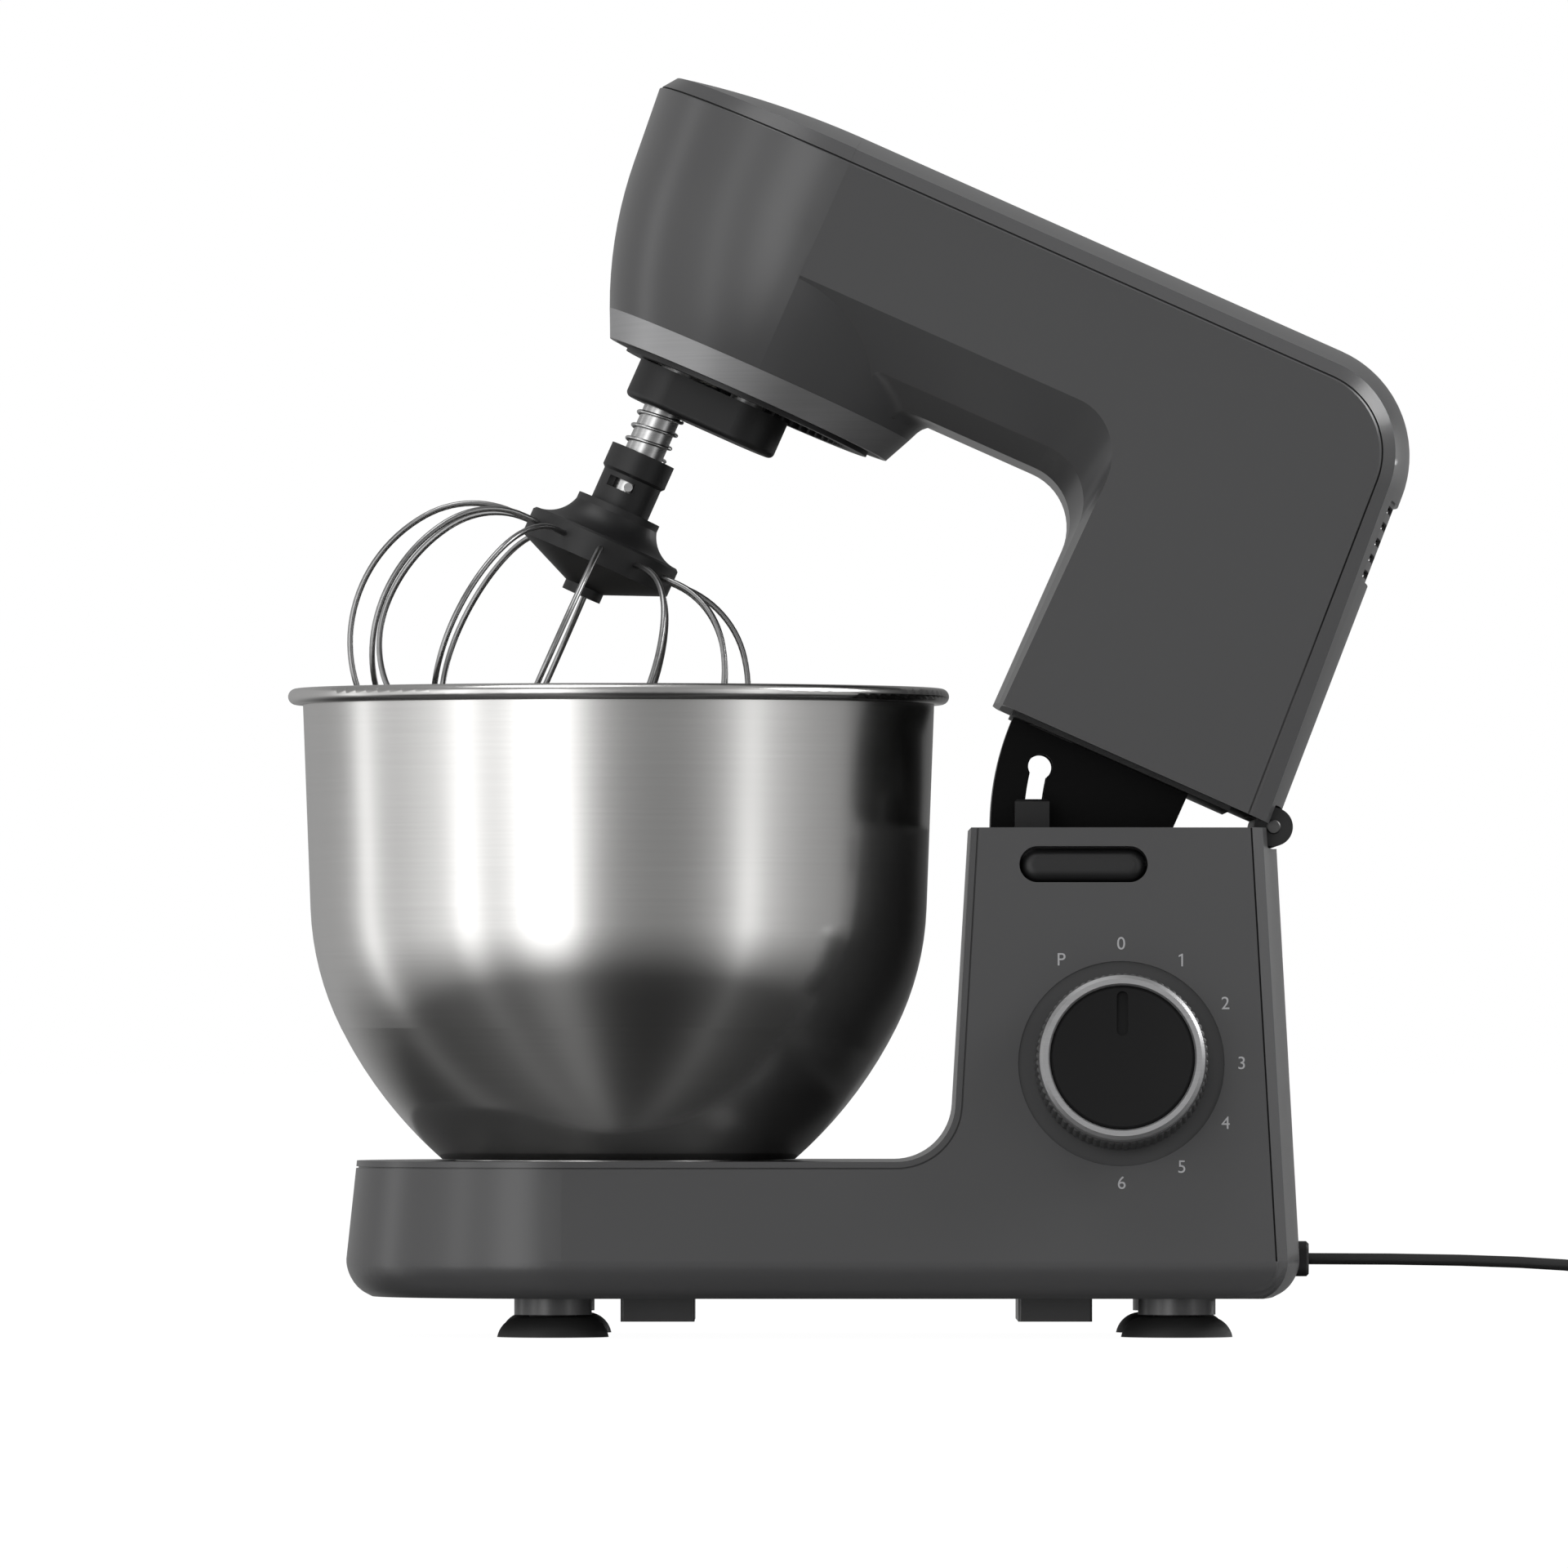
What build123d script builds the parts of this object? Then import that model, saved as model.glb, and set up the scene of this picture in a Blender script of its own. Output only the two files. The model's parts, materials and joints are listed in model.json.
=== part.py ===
"""Tilt-head stand mixer with a steel bowl and a wire whisk, the head raised.

Millimetres. +Z is up, +X runs from the bowl to the hinge, -Y is the side with the knob.
Head pieces are drawn in the head's own frame: its origin is on the hinge axis, its x runs
back along the closed head, its z up.
"""

from build123d import *
import os
from math import acos, asin, atan, cos, degrees, hypot, pi, radians, sin, sqrt, tan

os.makedirs("parts", exist_ok=True)

# Clearances
RUN_FIT = 0.05
SLIDE_FIT = 0.3
LOOSE_FIT = 0.8
REACH = 400.0

# Hinge and tilt
OPEN_ANGLE = 24.0
HINGE_X = 144.3
HINGE_Z = 173.5
BARREL_R = 6.6
PIN_R = 2.45
PIN_PROUD = 0.8
HEAD_KNUCKLE_HALF = 29.0
BARREL_HALF = 46.0
KNUCKLE_LEAF = 4.0
LEAF_HEIGHT = 26.0
LEAF_IN = 5.0

# Base and column
TRAY_Z = 13.2
PARTING_Z = 26.0
DECK_Z = 59.7
COLUMN_TOP_Z = HINGE_Z - SLIDE_FIT
BASE_FRONT_X = -172.3
BASE_HALF = 74.6
COLUMN_HALF = 58.8
BACK_X_LOW = 154.2
BACK_X_TOP = 146.1
BACK_CROWN = 5.8
BACK_CHAMFER = 4.2
THROAT_FOOT_X = 34.7
THROAT_TOP_X = 41.3
THROAT_R = 20.0
SHELL_WALL = 2.6
DECK_EDGE = 2.0
GROOVE = 0.6
GROOVE_DEPTH = 0.8
TRAY_ROUND = 13.7
TRAY_FLOOR = 3.0
TRAY_STEPS = 4

# Feet
FOOT_X_FRONT = BASE_FRONT_X + 71.4
FOOT_X_REAR = BACK_X_LOW - 42.9
FOOT_Y = BASE_HALF - 28.6
FOOT_R = 19.0
FOOT_HEIGHT = 6.6
FOOT_NECK_R = 8.0
FOOT_STEM_R = 4.0
FOOT_LIP = 5.0
FOOT_CUP = 2.2
FOOT_SHOULDER = 2.6
FOOT_SHOULDER_Z = 4.75
BOSS_R = 13.2
BOSS_Z = 7.6
BLOCK_LENGTH = 25.2
BLOCK_HALF = 38.0
BLOCK_Z = 5.0
BLOCK_X_FRONT = FOOT_X_FRONT + 35.5
BLOCK_X_REAR = FOOT_X_REAR - 41.2
BLOCK_ROUND = 1.0
SCREW_R = 1.6
SCREW_HEAD_R = 3.2
SCREW_HEAD = 2.0
SCREW_LENGTH = 9.0
SCREW_X_FRONT = FOOT_X_FRONT - 29.1
SCREW_X_MIDDLE = 25.0
SCREW_X_REAR = FOOT_X_REAR + 16.7
SCREW_Y = FOOT_Y - 16.0

# Bowl and its seat
RIM_Z = 221.3
BEAD_R = 2.75
RIM_R = 113.3
RIM_GAP = 7.0
BOWL_X = THROAT_TOP_X - RIM_R - RIM_GAP
BOWL_SHEET = 1.0
WALL_TOP_R = RIM_R - 5.0
WALL_LOW_R = WALL_TOP_R - 2.7
WALL_LOW_Z = 146.0
BELLY_R = WALL_LOW_R - 10.5
BELLY_Z = 105.0
BOWL_FLOOR_R = 60.4
BOWL_FLOOR_Z = DECK_Z + 0.4
FOOT_RING_R = 56.0
FOOT_RING_WALL = 3.0
FOOT_RING_HEIGHT = 7.4
LUG_COUNT = 3
LUG_REACH = 3.4
LUG_HEIGHT = 2.4
LUG_ANGLE = 36.0
LEDGE_ANGLE = 50.0
LEDGE_HEIGHT = 2.6
SEAT_WALL = 2.6
SEAT_FLOOR = 2.0

# Head form, in the head's frame
HEAD_FLOOR_Z = 0.3
PLANET_X = BOWL_X - HINGE_X
PANEL_TOP_Z = 146.9
HEAD_HALF = 71.1
FLANK_SLOPE = 0.0835
CREST_Z = 159.2
CROWN_R = 316.0
CROWN_SPARE = 12.0
SPINE_CHAMFER = 4.6
CORNER_R = 39.4
CORNER_X = -44.2
BACK_LEAN = 3.0
FLANK_BEND_Z = 120.0
BAND_TOP_R = 56.1
BAND_TOP_Z = 70.9
BAND_LOW_R = BAND_TOP_R - 4.3
BAND_LOW_Z = 61.6
BAND_WALL = 2.4
UNDER_PLATE = 2.4
HEAD_WALL = 2.5
ARM_UNDER_Z = 78.9
ARM_EDGE_Z = 105.2
DRUM_JOIN_Z = ARM_EDGE_Z + 7.0
NECK_FRONT_X = -103.8
NECK_EDGE_X = -99.6
NECK_R = 20.0
SCOOP_HALF = 36.0
RIDGE_HALF = 52.0
RIDGE_Z = 86.8
RIDGE_X = -102.5
DRUM_FILLET = 7.0
SPINE_SEAM_BACK = 11.6
VENT_TOP_Z = 118.0
VENT_LOW_Z = 89.0
VENT_HALF = 50.0
VENT_DEPTH = 1.3
VENT_COUNT = 5
VENT_SLOT = 2.6
VENT_RIB = 7.0
VENT_REACH = 3 * HEAD_WALL

# Lock tongue and release
TONGUE_R = 96.0
TONGUE_REAR_X = -30.7
TONGUE_HALF = 19.0
TONGUE_PLATE = 3.0
TONGUE_END_ANGLE = 42.0
LOCK_R = 81.7
LOCK_ANGLE = 9.1
LOCK_HOLE_R = 4.2
LOCK_SLOT = 6.0
LOCK_PIN_R = 2.0
LOCK_COLLAR_R = 3.9
LOCK_COLLAR_LENGTH = 6.0
LOCK_CLEAR = 1.0
LOCK_TIP = 3.0
GUIDE_CLEAR = 4.5
GUIDE_PLATE = 2.5
GUIDE_LENGTH = 30.0
GUIDE_HEIGHT = 10.0
FLOOR_PLATE = 2.0
FLOOR_PAD = 1.7
PAD_FRONT_X = -97.0
PAD_REAR_X = -16.0
PAD_HALF = 50.0
POST_X = 62.3
POST_LENGTH = 11.8
POST_WIDTH = 9.0
POST_Y = -30.0
POST_TOP_Z = 183.1
POST_FOOT_Z = 166.0
POST_ARM = 5.0
POST_CHAMFER = 0.8
POST_CLEAR = 2.0
SWITCH_BOX_LENGTH = 11.5
SWITCH_BOX_HEIGHT = 9.7
SWITCH_LEVER = 0.8
BUTTON_X = 79.4
BUTTON_Z = 160.7
BUTTON_LENGTH = 43.0
BUTTON_HEIGHT = 11.8
BUTTON_ROUND = 4.4
BUTTON_TRAVEL = 4.0
BUTTON_DEPTH = 9.0
BUTTON_SUNK = 0.8
BUTTON_FLANGE = 1.5
BUTTON_LIP = 2.0

# Knob and dial
KNOB_X = 92.1
KNOB_Z = 93.0
DIAL_R = 35.0
DIAL_SUNK = 1.2
KNOB_R = 28.0
KNOB_CAP_R = 24.5
KNOB_HEIGHT = 21.0
KNOB_GAP = 0.8
KNOB_DISH = 1.0
KNOB_FLARE = 0.8
RING_EDGE = 1.2
RING_INNER_EDGE = 0.6
CAP_SUNK = 0.6
CAP_EDGE = 1.0
MARK_INSET = 2.0
MARK_WIDTH = 3.8
MARK_LENGTH = 15.0
MARK_DEPTH = 0.8
SPINDLE_R = 3.0
SWITCH_SIZE = 34.0
SWITCH_DEPTH = 16.0
SWITCH_ROUND = 3.0
SWITCH_GAP = 1.5
BOARD_LENGTH = 64.0
BOARD_HEIGHT = 50.0
BOARD_PLATE = 1.6
CHIP_LENGTH = 12.0
CHIP_HEIGHT = 14.0
CHIP_DEPTH = 11.0
CHIP_SPACING = 36.0
CHIP_ROW = 22.0

# Drive train, in the head's frame
BEATER_OFFSET = 25.0
RING_TEETH = 60
PLANET_TEETH = 20
DRIVE_TEETH = 60
PINION_TEETH = 15
RING_MODULE = BEATER_OFFSET * 2 / (RING_TEETH - PLANET_TEETH)
DRIVE_MODULE = 1.0
PRESSURE_ANGLE = 20.0
TOOTH_SHARE = 0.84
TOOTH_TIP = 0.8
TOOTH_ROOT = 1.05
ROD_CHAMFER = 0.5
RING_R = BAND_LOW_R - BAND_WALL - 4.4
RING_LOW_Z = 60.0
CARRIER_LOW_Z = 46.0
CARRIER_TOP_Z = 59.5
CARRIER_TAIL = 15.9
CARRIER_REACH = 39.2
CARRIER_ROUND = 2.0
CARRIER_FLOOR = 3.0
MAIN_PROUD = 4.0
PLANET_CLEAR = 1.2
CASE_PLATE = 4.0
MAIN_SHAFT_R = 6.0
BUSH_R = 8.5
BOSS_WALL = 3.0
BUSH_HEIGHT = 14.0
DRIVE_LOW_Z = 92.0
DRIVE_HEIGHT = 10.0
LAYSHAFT_R = 4.0
PULLEY_LOW_Z = 108.0
PULLEY_HEIGHT = 10.0
LAY_PULLEY_R = 33.0
MOTOR_PULLEY_R = 11.0
BELT_WIDTH = 8.0
BELT_THICK = 2.0
MOTOR_X = -55.0
MOTOR_R = 36.0
MOTOR_LOW_Z = 22.0
MOTOR_HEIGHT = 44.0
ARMATURE_R = 19.5
AIR_GAP = 0.7
MOTOR_SHAFT_R = 4.0
FAN_R = 30.0
FAN_LOW_Z = 80.0
FAN_HEIGHT = 10.0
FAN_BLADES = 9
FAN_PLATE = 1.6
BRACKET_PLATE = 4.0
BRACKET_DROP = 8.0
BRACKET_WINDOWS = 4
BEARING_R = 9.0
PINION_OVERHANG = 1.0

# Beater shaft and whisk, in the head's frame
SHAFT_R = 6.75
SHAFT_LOW_Z = 11.0
SPRING_WIRE = 1.2
SPRING_CLEAR = 0.3
SPRING_TURNS = 3
SPRING_LOW_Z = 30.4
SPRING_HIGH_Z = 45.0
SOCKET_TOP_Z = 29.6
SOCKET_LOW_Z = 9.4
SOCKET_R = 11.5
SOCKET_STEP = 1.0
SOCKET_STEP_Z = 20.5
CROSS_PIN_R = 1.5
CROSS_PIN_HALF = 13.0
CROSS_PIN_Z = 17.0
TWIST_ANGLE = 35.0
TWIST_STEPS = 4
COLLAR_R = 15.0
COLLAR_HEIGHT = 2.4
DISC_R = 27.1
DISC_TOP_Z = -1.6
DISC_LOW_Z = -11.5
DISC_EDGE = 0.8
CONE_LOW_Z = -20.0
WHISK_BOSS_R = 7.0
WHISK_BOSS_Z = -23.2
LOOP_COUNT = 6
WIRE_R = 1.0
WIRE_ROOT_R = 22.0
WIRE_ROOT_Z = -6.4
WIRE_LEAVE_R = 33.0
WHISK_GAP = 10.6
WHISK_R = WALL_LOW_R - BEATER_OFFSET - WHISK_GAP
WHISK_WAIST_Z = -50.0
WHISK_LOW_Z = -105.5
LOOP_STEP = 2.6

# Cord
CORD_R = 2.0
CORD_Z = PARTING_Z
BEND_SHARE = 0.45
GLAND_LENGTH = 3.2
GLAND_HEIGHT = 12.0
GLAND_WIDTH = 14.0
GLAND_ROOT = 9.0
GLAND_ROUND = 3.0
GLAND_CHAMFER = 0.8
COIL_X = 346.0
COIL_TURNS = 3
COIL_PITCH = 5.2
COIL_CLIMB = 4.8
COIL_R = 30.0
COIL_SAMPLES = 1200
TAIL_LENGTH = 24.0
PLUG_LENGTH = 36.0
PLUG_WIDTH = 35.0
PLUG_NOSE = 9.0
PLUG_ROUND = 4.0
PLUG_PIN_R = 2.4
PLUG_PIN_SPACING = 19.0
PLUG_PIN_LENGTH = 19.0
TIE_WIDTH = 6.0
TIE_WALL = 1.2
TIE_CLEAR = 0.1
TIE_SIDE = 0.6

# The head's frame and its drawing planes
TILT = radians(OPEN_ANGLE)
HEAD = Plane(
    origin=(HINGE_X, 0, HINGE_Z),
    x_dir=(cos(TILT), 0, -sin(TILT)),
    z_dir=(sin(TILT), 0, cos(TILT)),
)


def head_point(x, y, z):
    """Return a point of the head's frame in the world."""
    return HEAD.from_local_coords(Vector(x, y, z))


def head_level(z):
    """Plane parallel to the head's floor, at height z."""
    return HEAD.offset(z)


def head_side(y=0.0):
    """Plane of the head's side view, x back and z up."""
    return Plane(origin=head_point(0, y, 0), x_dir=HEAD.x_dir, z_dir=(0, -1, 0))


def head_across(x, z=0.0):
    """Plane across the head at x, its upright axis starting at z."""
    return Plane(origin=head_point(x, 0, z), x_dir=(0, 1, 0), z_dir=HEAD.x_dir)


def head_axis(x, y=0.0):
    """Upright axis of the head through x, y."""
    return Axis(head_point(x, y, 0), HEAD.z_dir)


def finish(piece, name):
    """Name a piece and write it."""
    piece.label = name
    export_step(piece, f"parts/{name}.step")


def biarc(start, start_dir, end, end_dir):
    """Draw two arcs that leave start and reach end along the given directions."""
    chord = end - start
    both = start_dir + end_dir
    spread = 2 * (1 - start_dir.dot(end_dir))
    along = chord.dot(both)
    if spread > 1e-9:
        pull = (-along + sqrt(along**2 + spread * chord.dot(chord))) / spread
    else:
        pull = chord.dot(chord) / (2 * along)
    joint = (start + end + (start_dir - end_dir) * pull) / 2
    TangentArc(start, joint, tangent=start_dir)
    TangentArc(end, joint, tangent=-end_dir)


# Base form: a D-shaped plan that narrows upwards, with the throat for the bowl cut out
BASE_RISE = COLUMN_TOP_Z - PARTING_Z
BASE_SLOPE = (BASE_HALF - COLUMN_HALF) / BASE_RISE
PANEL_ANGLE = degrees(atan(BASE_SLOPE))
BACK_SLOPE = (BACK_X_LOW - BACK_X_TOP) / BASE_RISE
BASE_ROUND_X = BASE_FRONT_X + BASE_HALF
DECK_DEPTH = DECK_EDGE + GROOVE


def base_half(z):
    """Half width of the base and column at height z."""
    return BASE_HALF - (z - PARTING_Z) * BASE_SLOPE


def back_x(z):
    """Rearmost x of the base and column at height z."""
    return BACK_X_LOW - (z - PARTING_Z) * BACK_SLOPE


def base_plan(z, inset=0.0, level=None):
    """Return the D-shaped plan of height z, drawn in by inset, on a level of its own if given."""
    half = base_half(z)
    seam = back_x(z) - BACK_CROWN - BACK_CHAMFER
    heel = back_x(z) - BACK_CROWN
    with BuildSketch(Plane.XY.offset(z if level is None else level)) as plan:
        with BuildLine():
            ThreePointArc((BASE_ROUND_X, half), (BASE_ROUND_X - half, 0), (BASE_ROUND_X, -half))
            Polyline((BASE_ROUND_X, -half), (seam, -half), (heel, -half + BACK_CHAMFER))
            ThreePointArc((heel, -half + BACK_CHAMFER), (back_x(z), 0), (heel, half - BACK_CHAMFER))
            Polyline((heel, half - BACK_CHAMFER), (seam, half), (BASE_ROUND_X, half))
        make_face()
        if inset:
            offset(amount=-inset, kind=Kind.INTERSECTION)
    return plan.sketch


def throat_outline(inset):
    """Return the space over the deck and ahead of the column, grown by inset."""
    lean = (THROAT_TOP_X - THROAT_FOOT_X) / (COLUMN_TOP_Z - DECK_Z)
    foot = THROAT_FOOT_X + inset
    with BuildSketch(Plane.XZ) as outline:
        with BuildLine():
            Polyline(
                (foot - lean * inset, DECK_Z - inset),
                (foot + lean * REACH, DECK_Z + REACH),
                (-REACH, DECK_Z + REACH),
                (-REACH, DECK_Z - inset),
                close=True,
            )
        make_face()
        fillet(outline.vertices().group_by(Axis.Y)[0].sort_by(Axis.X)[-1], THROAT_R + inset)
    return outline.sketch


def base_form(inset, deck_inset, drop=0.0):
    """Return the base's form drawn in by inset, with its throat deeper by deck_inset."""
    with BuildPart() as form:
        loft([base_plan(z, inset) for z in (PARTING_Z - drop, COLUMN_TOP_Z + drop)], ruled=True)
        extrude(throat_outline(deck_inset), amount=REACH, both=True, mode=Mode.SUBTRACT)
    return form.part


def throat_space(inset):
    """Return the throat grown by inset, right across the base."""
    with BuildPart() as space:
        extrude(throat_outline(inset), amount=REACH, both=True)
    return space.part


def behind_seam(gap):
    """Return the space behind the seam of the rear cover, moved back by gap."""
    low, high = PARTING_Z - REACH, COLUMN_TOP_Z + REACH
    seam = BACK_CROWN + BACK_CHAMFER - gap
    with BuildPart() as space:
        with BuildSketch(Plane.XZ):
            with BuildLine():
                Polyline(
                    (back_x(low) - seam, low),
                    (back_x(low) + REACH, low),
                    (back_x(low) + REACH, high),
                    (back_x(high) - seam, high),
                    close=True,
                )
            make_face()
        extrude(amount=REACH, both=True)
    return space.part


base_outer = base_form(0, 0)
base_grooved = base_form(GROOVE_DEPTH, 0)
base_cavity = base_form(SHELL_WALL, 0, drop=SHELL_WALL)
deck_skin = throat_space(DECK_EDGE)
deck_lining = throat_space(DECK_DEPTH)
rear_space = behind_seam(0)
rear_space_past_groove = behind_seam(GROOVE)

# Near panel, where the knob and the release button sit
PANEL_TILT = radians(PANEL_ANGLE)
PANEL_OUT = (0, -cos(PANEL_TILT), sin(PANEL_TILT))


def panel_plane(x, z, out=0.0):
    """Plane on the near panel at x, z, out of it by out."""
    return Plane(origin=(x, -base_half(z), z), x_dir=(1, 0, 0), z_dir=PANEL_OUT).offset(out)


# Barrel and pin of the hinge
with BuildPart() as barrel_room:
    with BuildSketch(Plane.XZ):
        with Locations((HINGE_X, HINGE_Z)):
            Circle(BARREL_R + LOOSE_FIT)
    extrude(amount=BARREL_HALF + PIN_PROUD + SLIDE_FIT, both=True)

with BuildPart() as hinge_bracket:
    for side in (-1, 1):
        with BuildSketch(Plane.XZ.offset(side * (HEAD_KNUCKLE_HALF + SLIDE_FIT))):
            with Locations((HINGE_X, HINGE_Z)):
                Circle(BARREL_R)
            with Locations((HINGE_X - BARREL_R, HINGE_Z)):
                Rectangle(KNUCKLE_LEAF, LEAF_HEIGHT, align=(Align.MIN, Align.MAX))
        extrude(amount=side * (BARREL_HALF - HEAD_KNUCKLE_HALF - SLIDE_FIT))
    with BuildSketch(Plane.XZ):
        with Locations((HINGE_X, HINGE_Z)):
            Circle(PIN_R)
    extrude(amount=REACH, both=True, mode=Mode.SUBTRACT)
finish(hinge_bracket.part, "hinge_bracket")

with BuildPart() as hinge_pin:
    with BuildSketch(Plane.XZ):
        with Locations((HINGE_X, HINGE_Z)):
            Circle(PIN_R)
    extrude(amount=BARREL_HALF + PIN_PROUD, both=True)
    chamfer(hinge_pin.edges().filter_by(GeomType.CIRCLE), PIN_PROUD / 2)
finish(hinge_pin.part, "hinge_pin")

# Shells of the base
SEAT_ROOM_R = FOOT_RING_R + LUG_REACH + LOOSE_FIT + SEAT_WALL

with BuildPart() as base_deck:
    add(base_outer)
    add(deck_skin, mode=Mode.INTERSECT)
    add(base_grooved.intersect(deck_lining))
    with BuildSketch(Plane.XY.offset(DECK_Z)):
        with Locations((BOWL_X, 0)):
            Circle(SEAT_ROOM_R)
    extrude(amount=-DECK_DEPTH, mode=Mode.SUBTRACT)
finish(base_deck.part, "base_deck")

with BuildPart() as base_shell:
    add(base_outer)
    add(base_cavity, mode=Mode.SUBTRACT)
    add(deck_lining, mode=Mode.SUBTRACT)
    add(rear_space, mode=Mode.SUBTRACT)
    with BuildSketch(panel_plane(KNOB_X, KNOB_Z)):
        Circle(DIAL_R)
    extrude(amount=-DIAL_SUNK, mode=Mode.SUBTRACT)
    with BuildSketch(panel_plane(KNOB_X, KNOB_Z)):
        Circle(SPINDLE_R + LOOSE_FIT)
    extrude(amount=-2 * SHELL_WALL, mode=Mode.SUBTRACT)
    with BuildSketch(panel_plane(BUTTON_X, BUTTON_Z)):
        SlotOverall(BUTTON_LENGTH + 2 * SLIDE_FIT, BUTTON_HEIGHT + 2 * SLIDE_FIT)
    extrude(amount=-2 * SHELL_WALL, mode=Mode.SUBTRACT)
finish(base_shell.part, "base_shell")

with BuildPart() as gland_slot:
    with BuildSketch(Plane.YZ.offset(BACK_X_LOW - GLAND_ROOT)):
        with Locations((0, CORD_Z)):
            RectangleRounded(GLAND_WIDTH, GLAND_HEIGHT, GLAND_ROUND)
    extrude(amount=GLAND_ROOT + GLAND_LENGTH)

with BuildPart() as rear_cover:
    add(base_outer)
    add(base_cavity, mode=Mode.SUBTRACT)
    add(rear_space_past_groove, mode=Mode.INTERSECT)
    add((base_grooved - base_cavity).intersect(rear_space))
    add(barrel_room.part, mode=Mode.SUBTRACT)
    add(hinge_bracket.part, mode=Mode.SUBTRACT)
    add(gland_slot.part, mode=Mode.SUBTRACT)
finish(rear_cover.part, "rear_cover")


def tray_form(inset, floor):
    """Return the tray's form down to a floor, rounded in as it goes, drawn in by inset."""
    last = asin((PARTING_Z - floor) / TRAY_ROUND)
    levels = []
    for step in range(TRAY_STEPS + 1):
        swing = last * step / TRAY_STEPS
        tuck = TRAY_ROUND * (1 - cos(swing)) + inset
        levels.append(base_plan(PARTING_Z, tuck, PARTING_Z - TRAY_ROUND * sin(swing)))
    with BuildPart() as form:
        loft(levels)
    return form.part


FOOT_SPOTS = [(x, y) for x in (FOOT_X_FRONT, FOOT_X_REAR) for y in (-FOOT_Y, FOOT_Y)]
SCREW_ROWS = (SCREW_X_FRONT, SCREW_X_MIDDLE, SCREW_X_REAR)
SCREW_SPOTS = [(x, y) for x in SCREW_ROWS for y in (-SCREW_Y, SCREW_Y)]
tray_outer = tray_form(0, TRAY_Z)
tray_inner = tray_form(SHELL_WALL, TRAY_Z + TRAY_FLOOR)

with BuildPart() as bottom_tray:
    add(tray_outer)
    with BuildSketch(Plane.XY.offset(TRAY_Z)):
        with Locations(*FOOT_SPOTS):
            Circle(BOSS_R)
    extrude(amount=BOSS_Z - TRAY_Z)
    with BuildSketch(Plane.XY.offset(TRAY_Z)):
        with Locations((BLOCK_X_FRONT, 0), (BLOCK_X_REAR, 0)):
            RectangleRounded(BLOCK_LENGTH, 2 * BLOCK_HALF, BLOCK_ROUND)
    extrude(amount=BLOCK_Z - TRAY_Z)
    add(tray_inner, mode=Mode.SUBTRACT)
    with BuildSketch(Plane.XY.offset(TRAY_Z)):
        with Locations(*SCREW_SPOTS):
            Circle(SCREW_HEAD_R)
    extrude(amount=SCREW_HEAD, mode=Mode.SUBTRACT)
    with BuildSketch(Plane.XY.offset(TRAY_Z)):
        with Locations(*SCREW_SPOTS):
            Circle(SCREW_R)
    extrude(amount=TRAY_FLOOR, mode=Mode.SUBTRACT)
    with BuildSketch(Plane.XY.offset(BOSS_Z)):
        with Locations(*FOOT_SPOTS):
            Circle(FOOT_STEM_R)
    extrude(amount=TRAY_Z - BOSS_Z, mode=Mode.SUBTRACT)
    add(gland_slot.part, mode=Mode.SUBTRACT)
finish(bottom_tray.part, "bottom_tray")

with BuildPart() as tray_screws:
    with BuildSketch(Plane.XY.offset(TRAY_Z)):
        with Locations(*SCREW_SPOTS):
            Circle(SCREW_HEAD_R)
    extrude(amount=SCREW_HEAD)
    with BuildSketch(Plane.XY.offset(TRAY_Z + SCREW_HEAD)):
        with Locations(*SCREW_SPOTS):
            Circle(SCREW_R)
    extrude(amount=SCREW_LENGTH - SCREW_HEAD)
    with BuildSketch(Plane.XY.offset(TRAY_Z)):
        with Locations(*SCREW_SPOTS):
            RegularPolygon(SCREW_R, 6)
    extrude(amount=SCREW_HEAD / 2, mode=Mode.SUBTRACT)
finish(tray_screws.part, "tray_screws")

with BuildPart() as suction_feet:
    for x, y in FOOT_SPOTS:
        with BuildSketch(Plane(origin=(x, y, 0), x_dir=(1, 0, 0), z_dir=(0, -1, 0))):
            with BuildLine():
                Polyline((0, FOOT_CUP), (FOOT_R - FOOT_LIP, 0), (FOOT_R, 0))
                ThreePointArc(
                    (FOOT_R, 0), (FOOT_R - FOOT_SHOULDER, FOOT_SHOULDER_Z), (FOOT_NECK_R, FOOT_HEIGHT)
                )
                Polyline(
                    (FOOT_NECK_R, FOOT_HEIGHT),
                    (FOOT_NECK_R, BOSS_Z),
                    (FOOT_STEM_R, BOSS_Z),
                    (FOOT_STEM_R, TRAY_Z),
                    (0, TRAY_Z),
                    (0, FOOT_CUP),
                )
            make_face()
        revolve(axis=Axis((x, y, 0), (0, 0, 1)))
finish(suction_feet.part, "suction_feet")

# Bowl seat, with ledges that hold the bowl's lugs down
SEAT_IN_R = FOOT_RING_R + LUG_REACH + LOOSE_FIT
LEDGE_R = FOOT_RING_R + LOOSE_FIT
FOOT_LOW_Z = BOWL_FLOOR_Z - FOOT_RING_HEIGHT
SEAT_FLOOR_Z = FOOT_LOW_Z - SLIDE_FIT
LUG_ROOT_R = FOOT_RING_R - FOOT_RING_WALL / 2


def ring_sector(outer, inner, angle, turn, level):
    """Return a sector of a ring about the bowl's axis, on a level."""
    half = radians(angle) / 2
    with BuildSketch(Plane(origin=(BOWL_X, 0, level), z_dir=(0, 0, 1)).rotated((0, 0, turn))) as sector:
        with BuildLine():
            low, high = (cos(half), -sin(half)), (cos(half), sin(half))
            Line((inner * low[0], inner * low[1]), (outer * low[0], outer * low[1]))
            ThreePointArc((outer * low[0], outer * low[1]), (outer, 0), (outer * high[0], outer * high[1]))
            Line((outer * high[0], outer * high[1]), (inner * high[0], inner * high[1]))
            ThreePointArc((inner * high[0], inner * high[1]), (inner, 0), (inner * low[0], inner * low[1]))
        make_face()
    return sector.sketch


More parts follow.
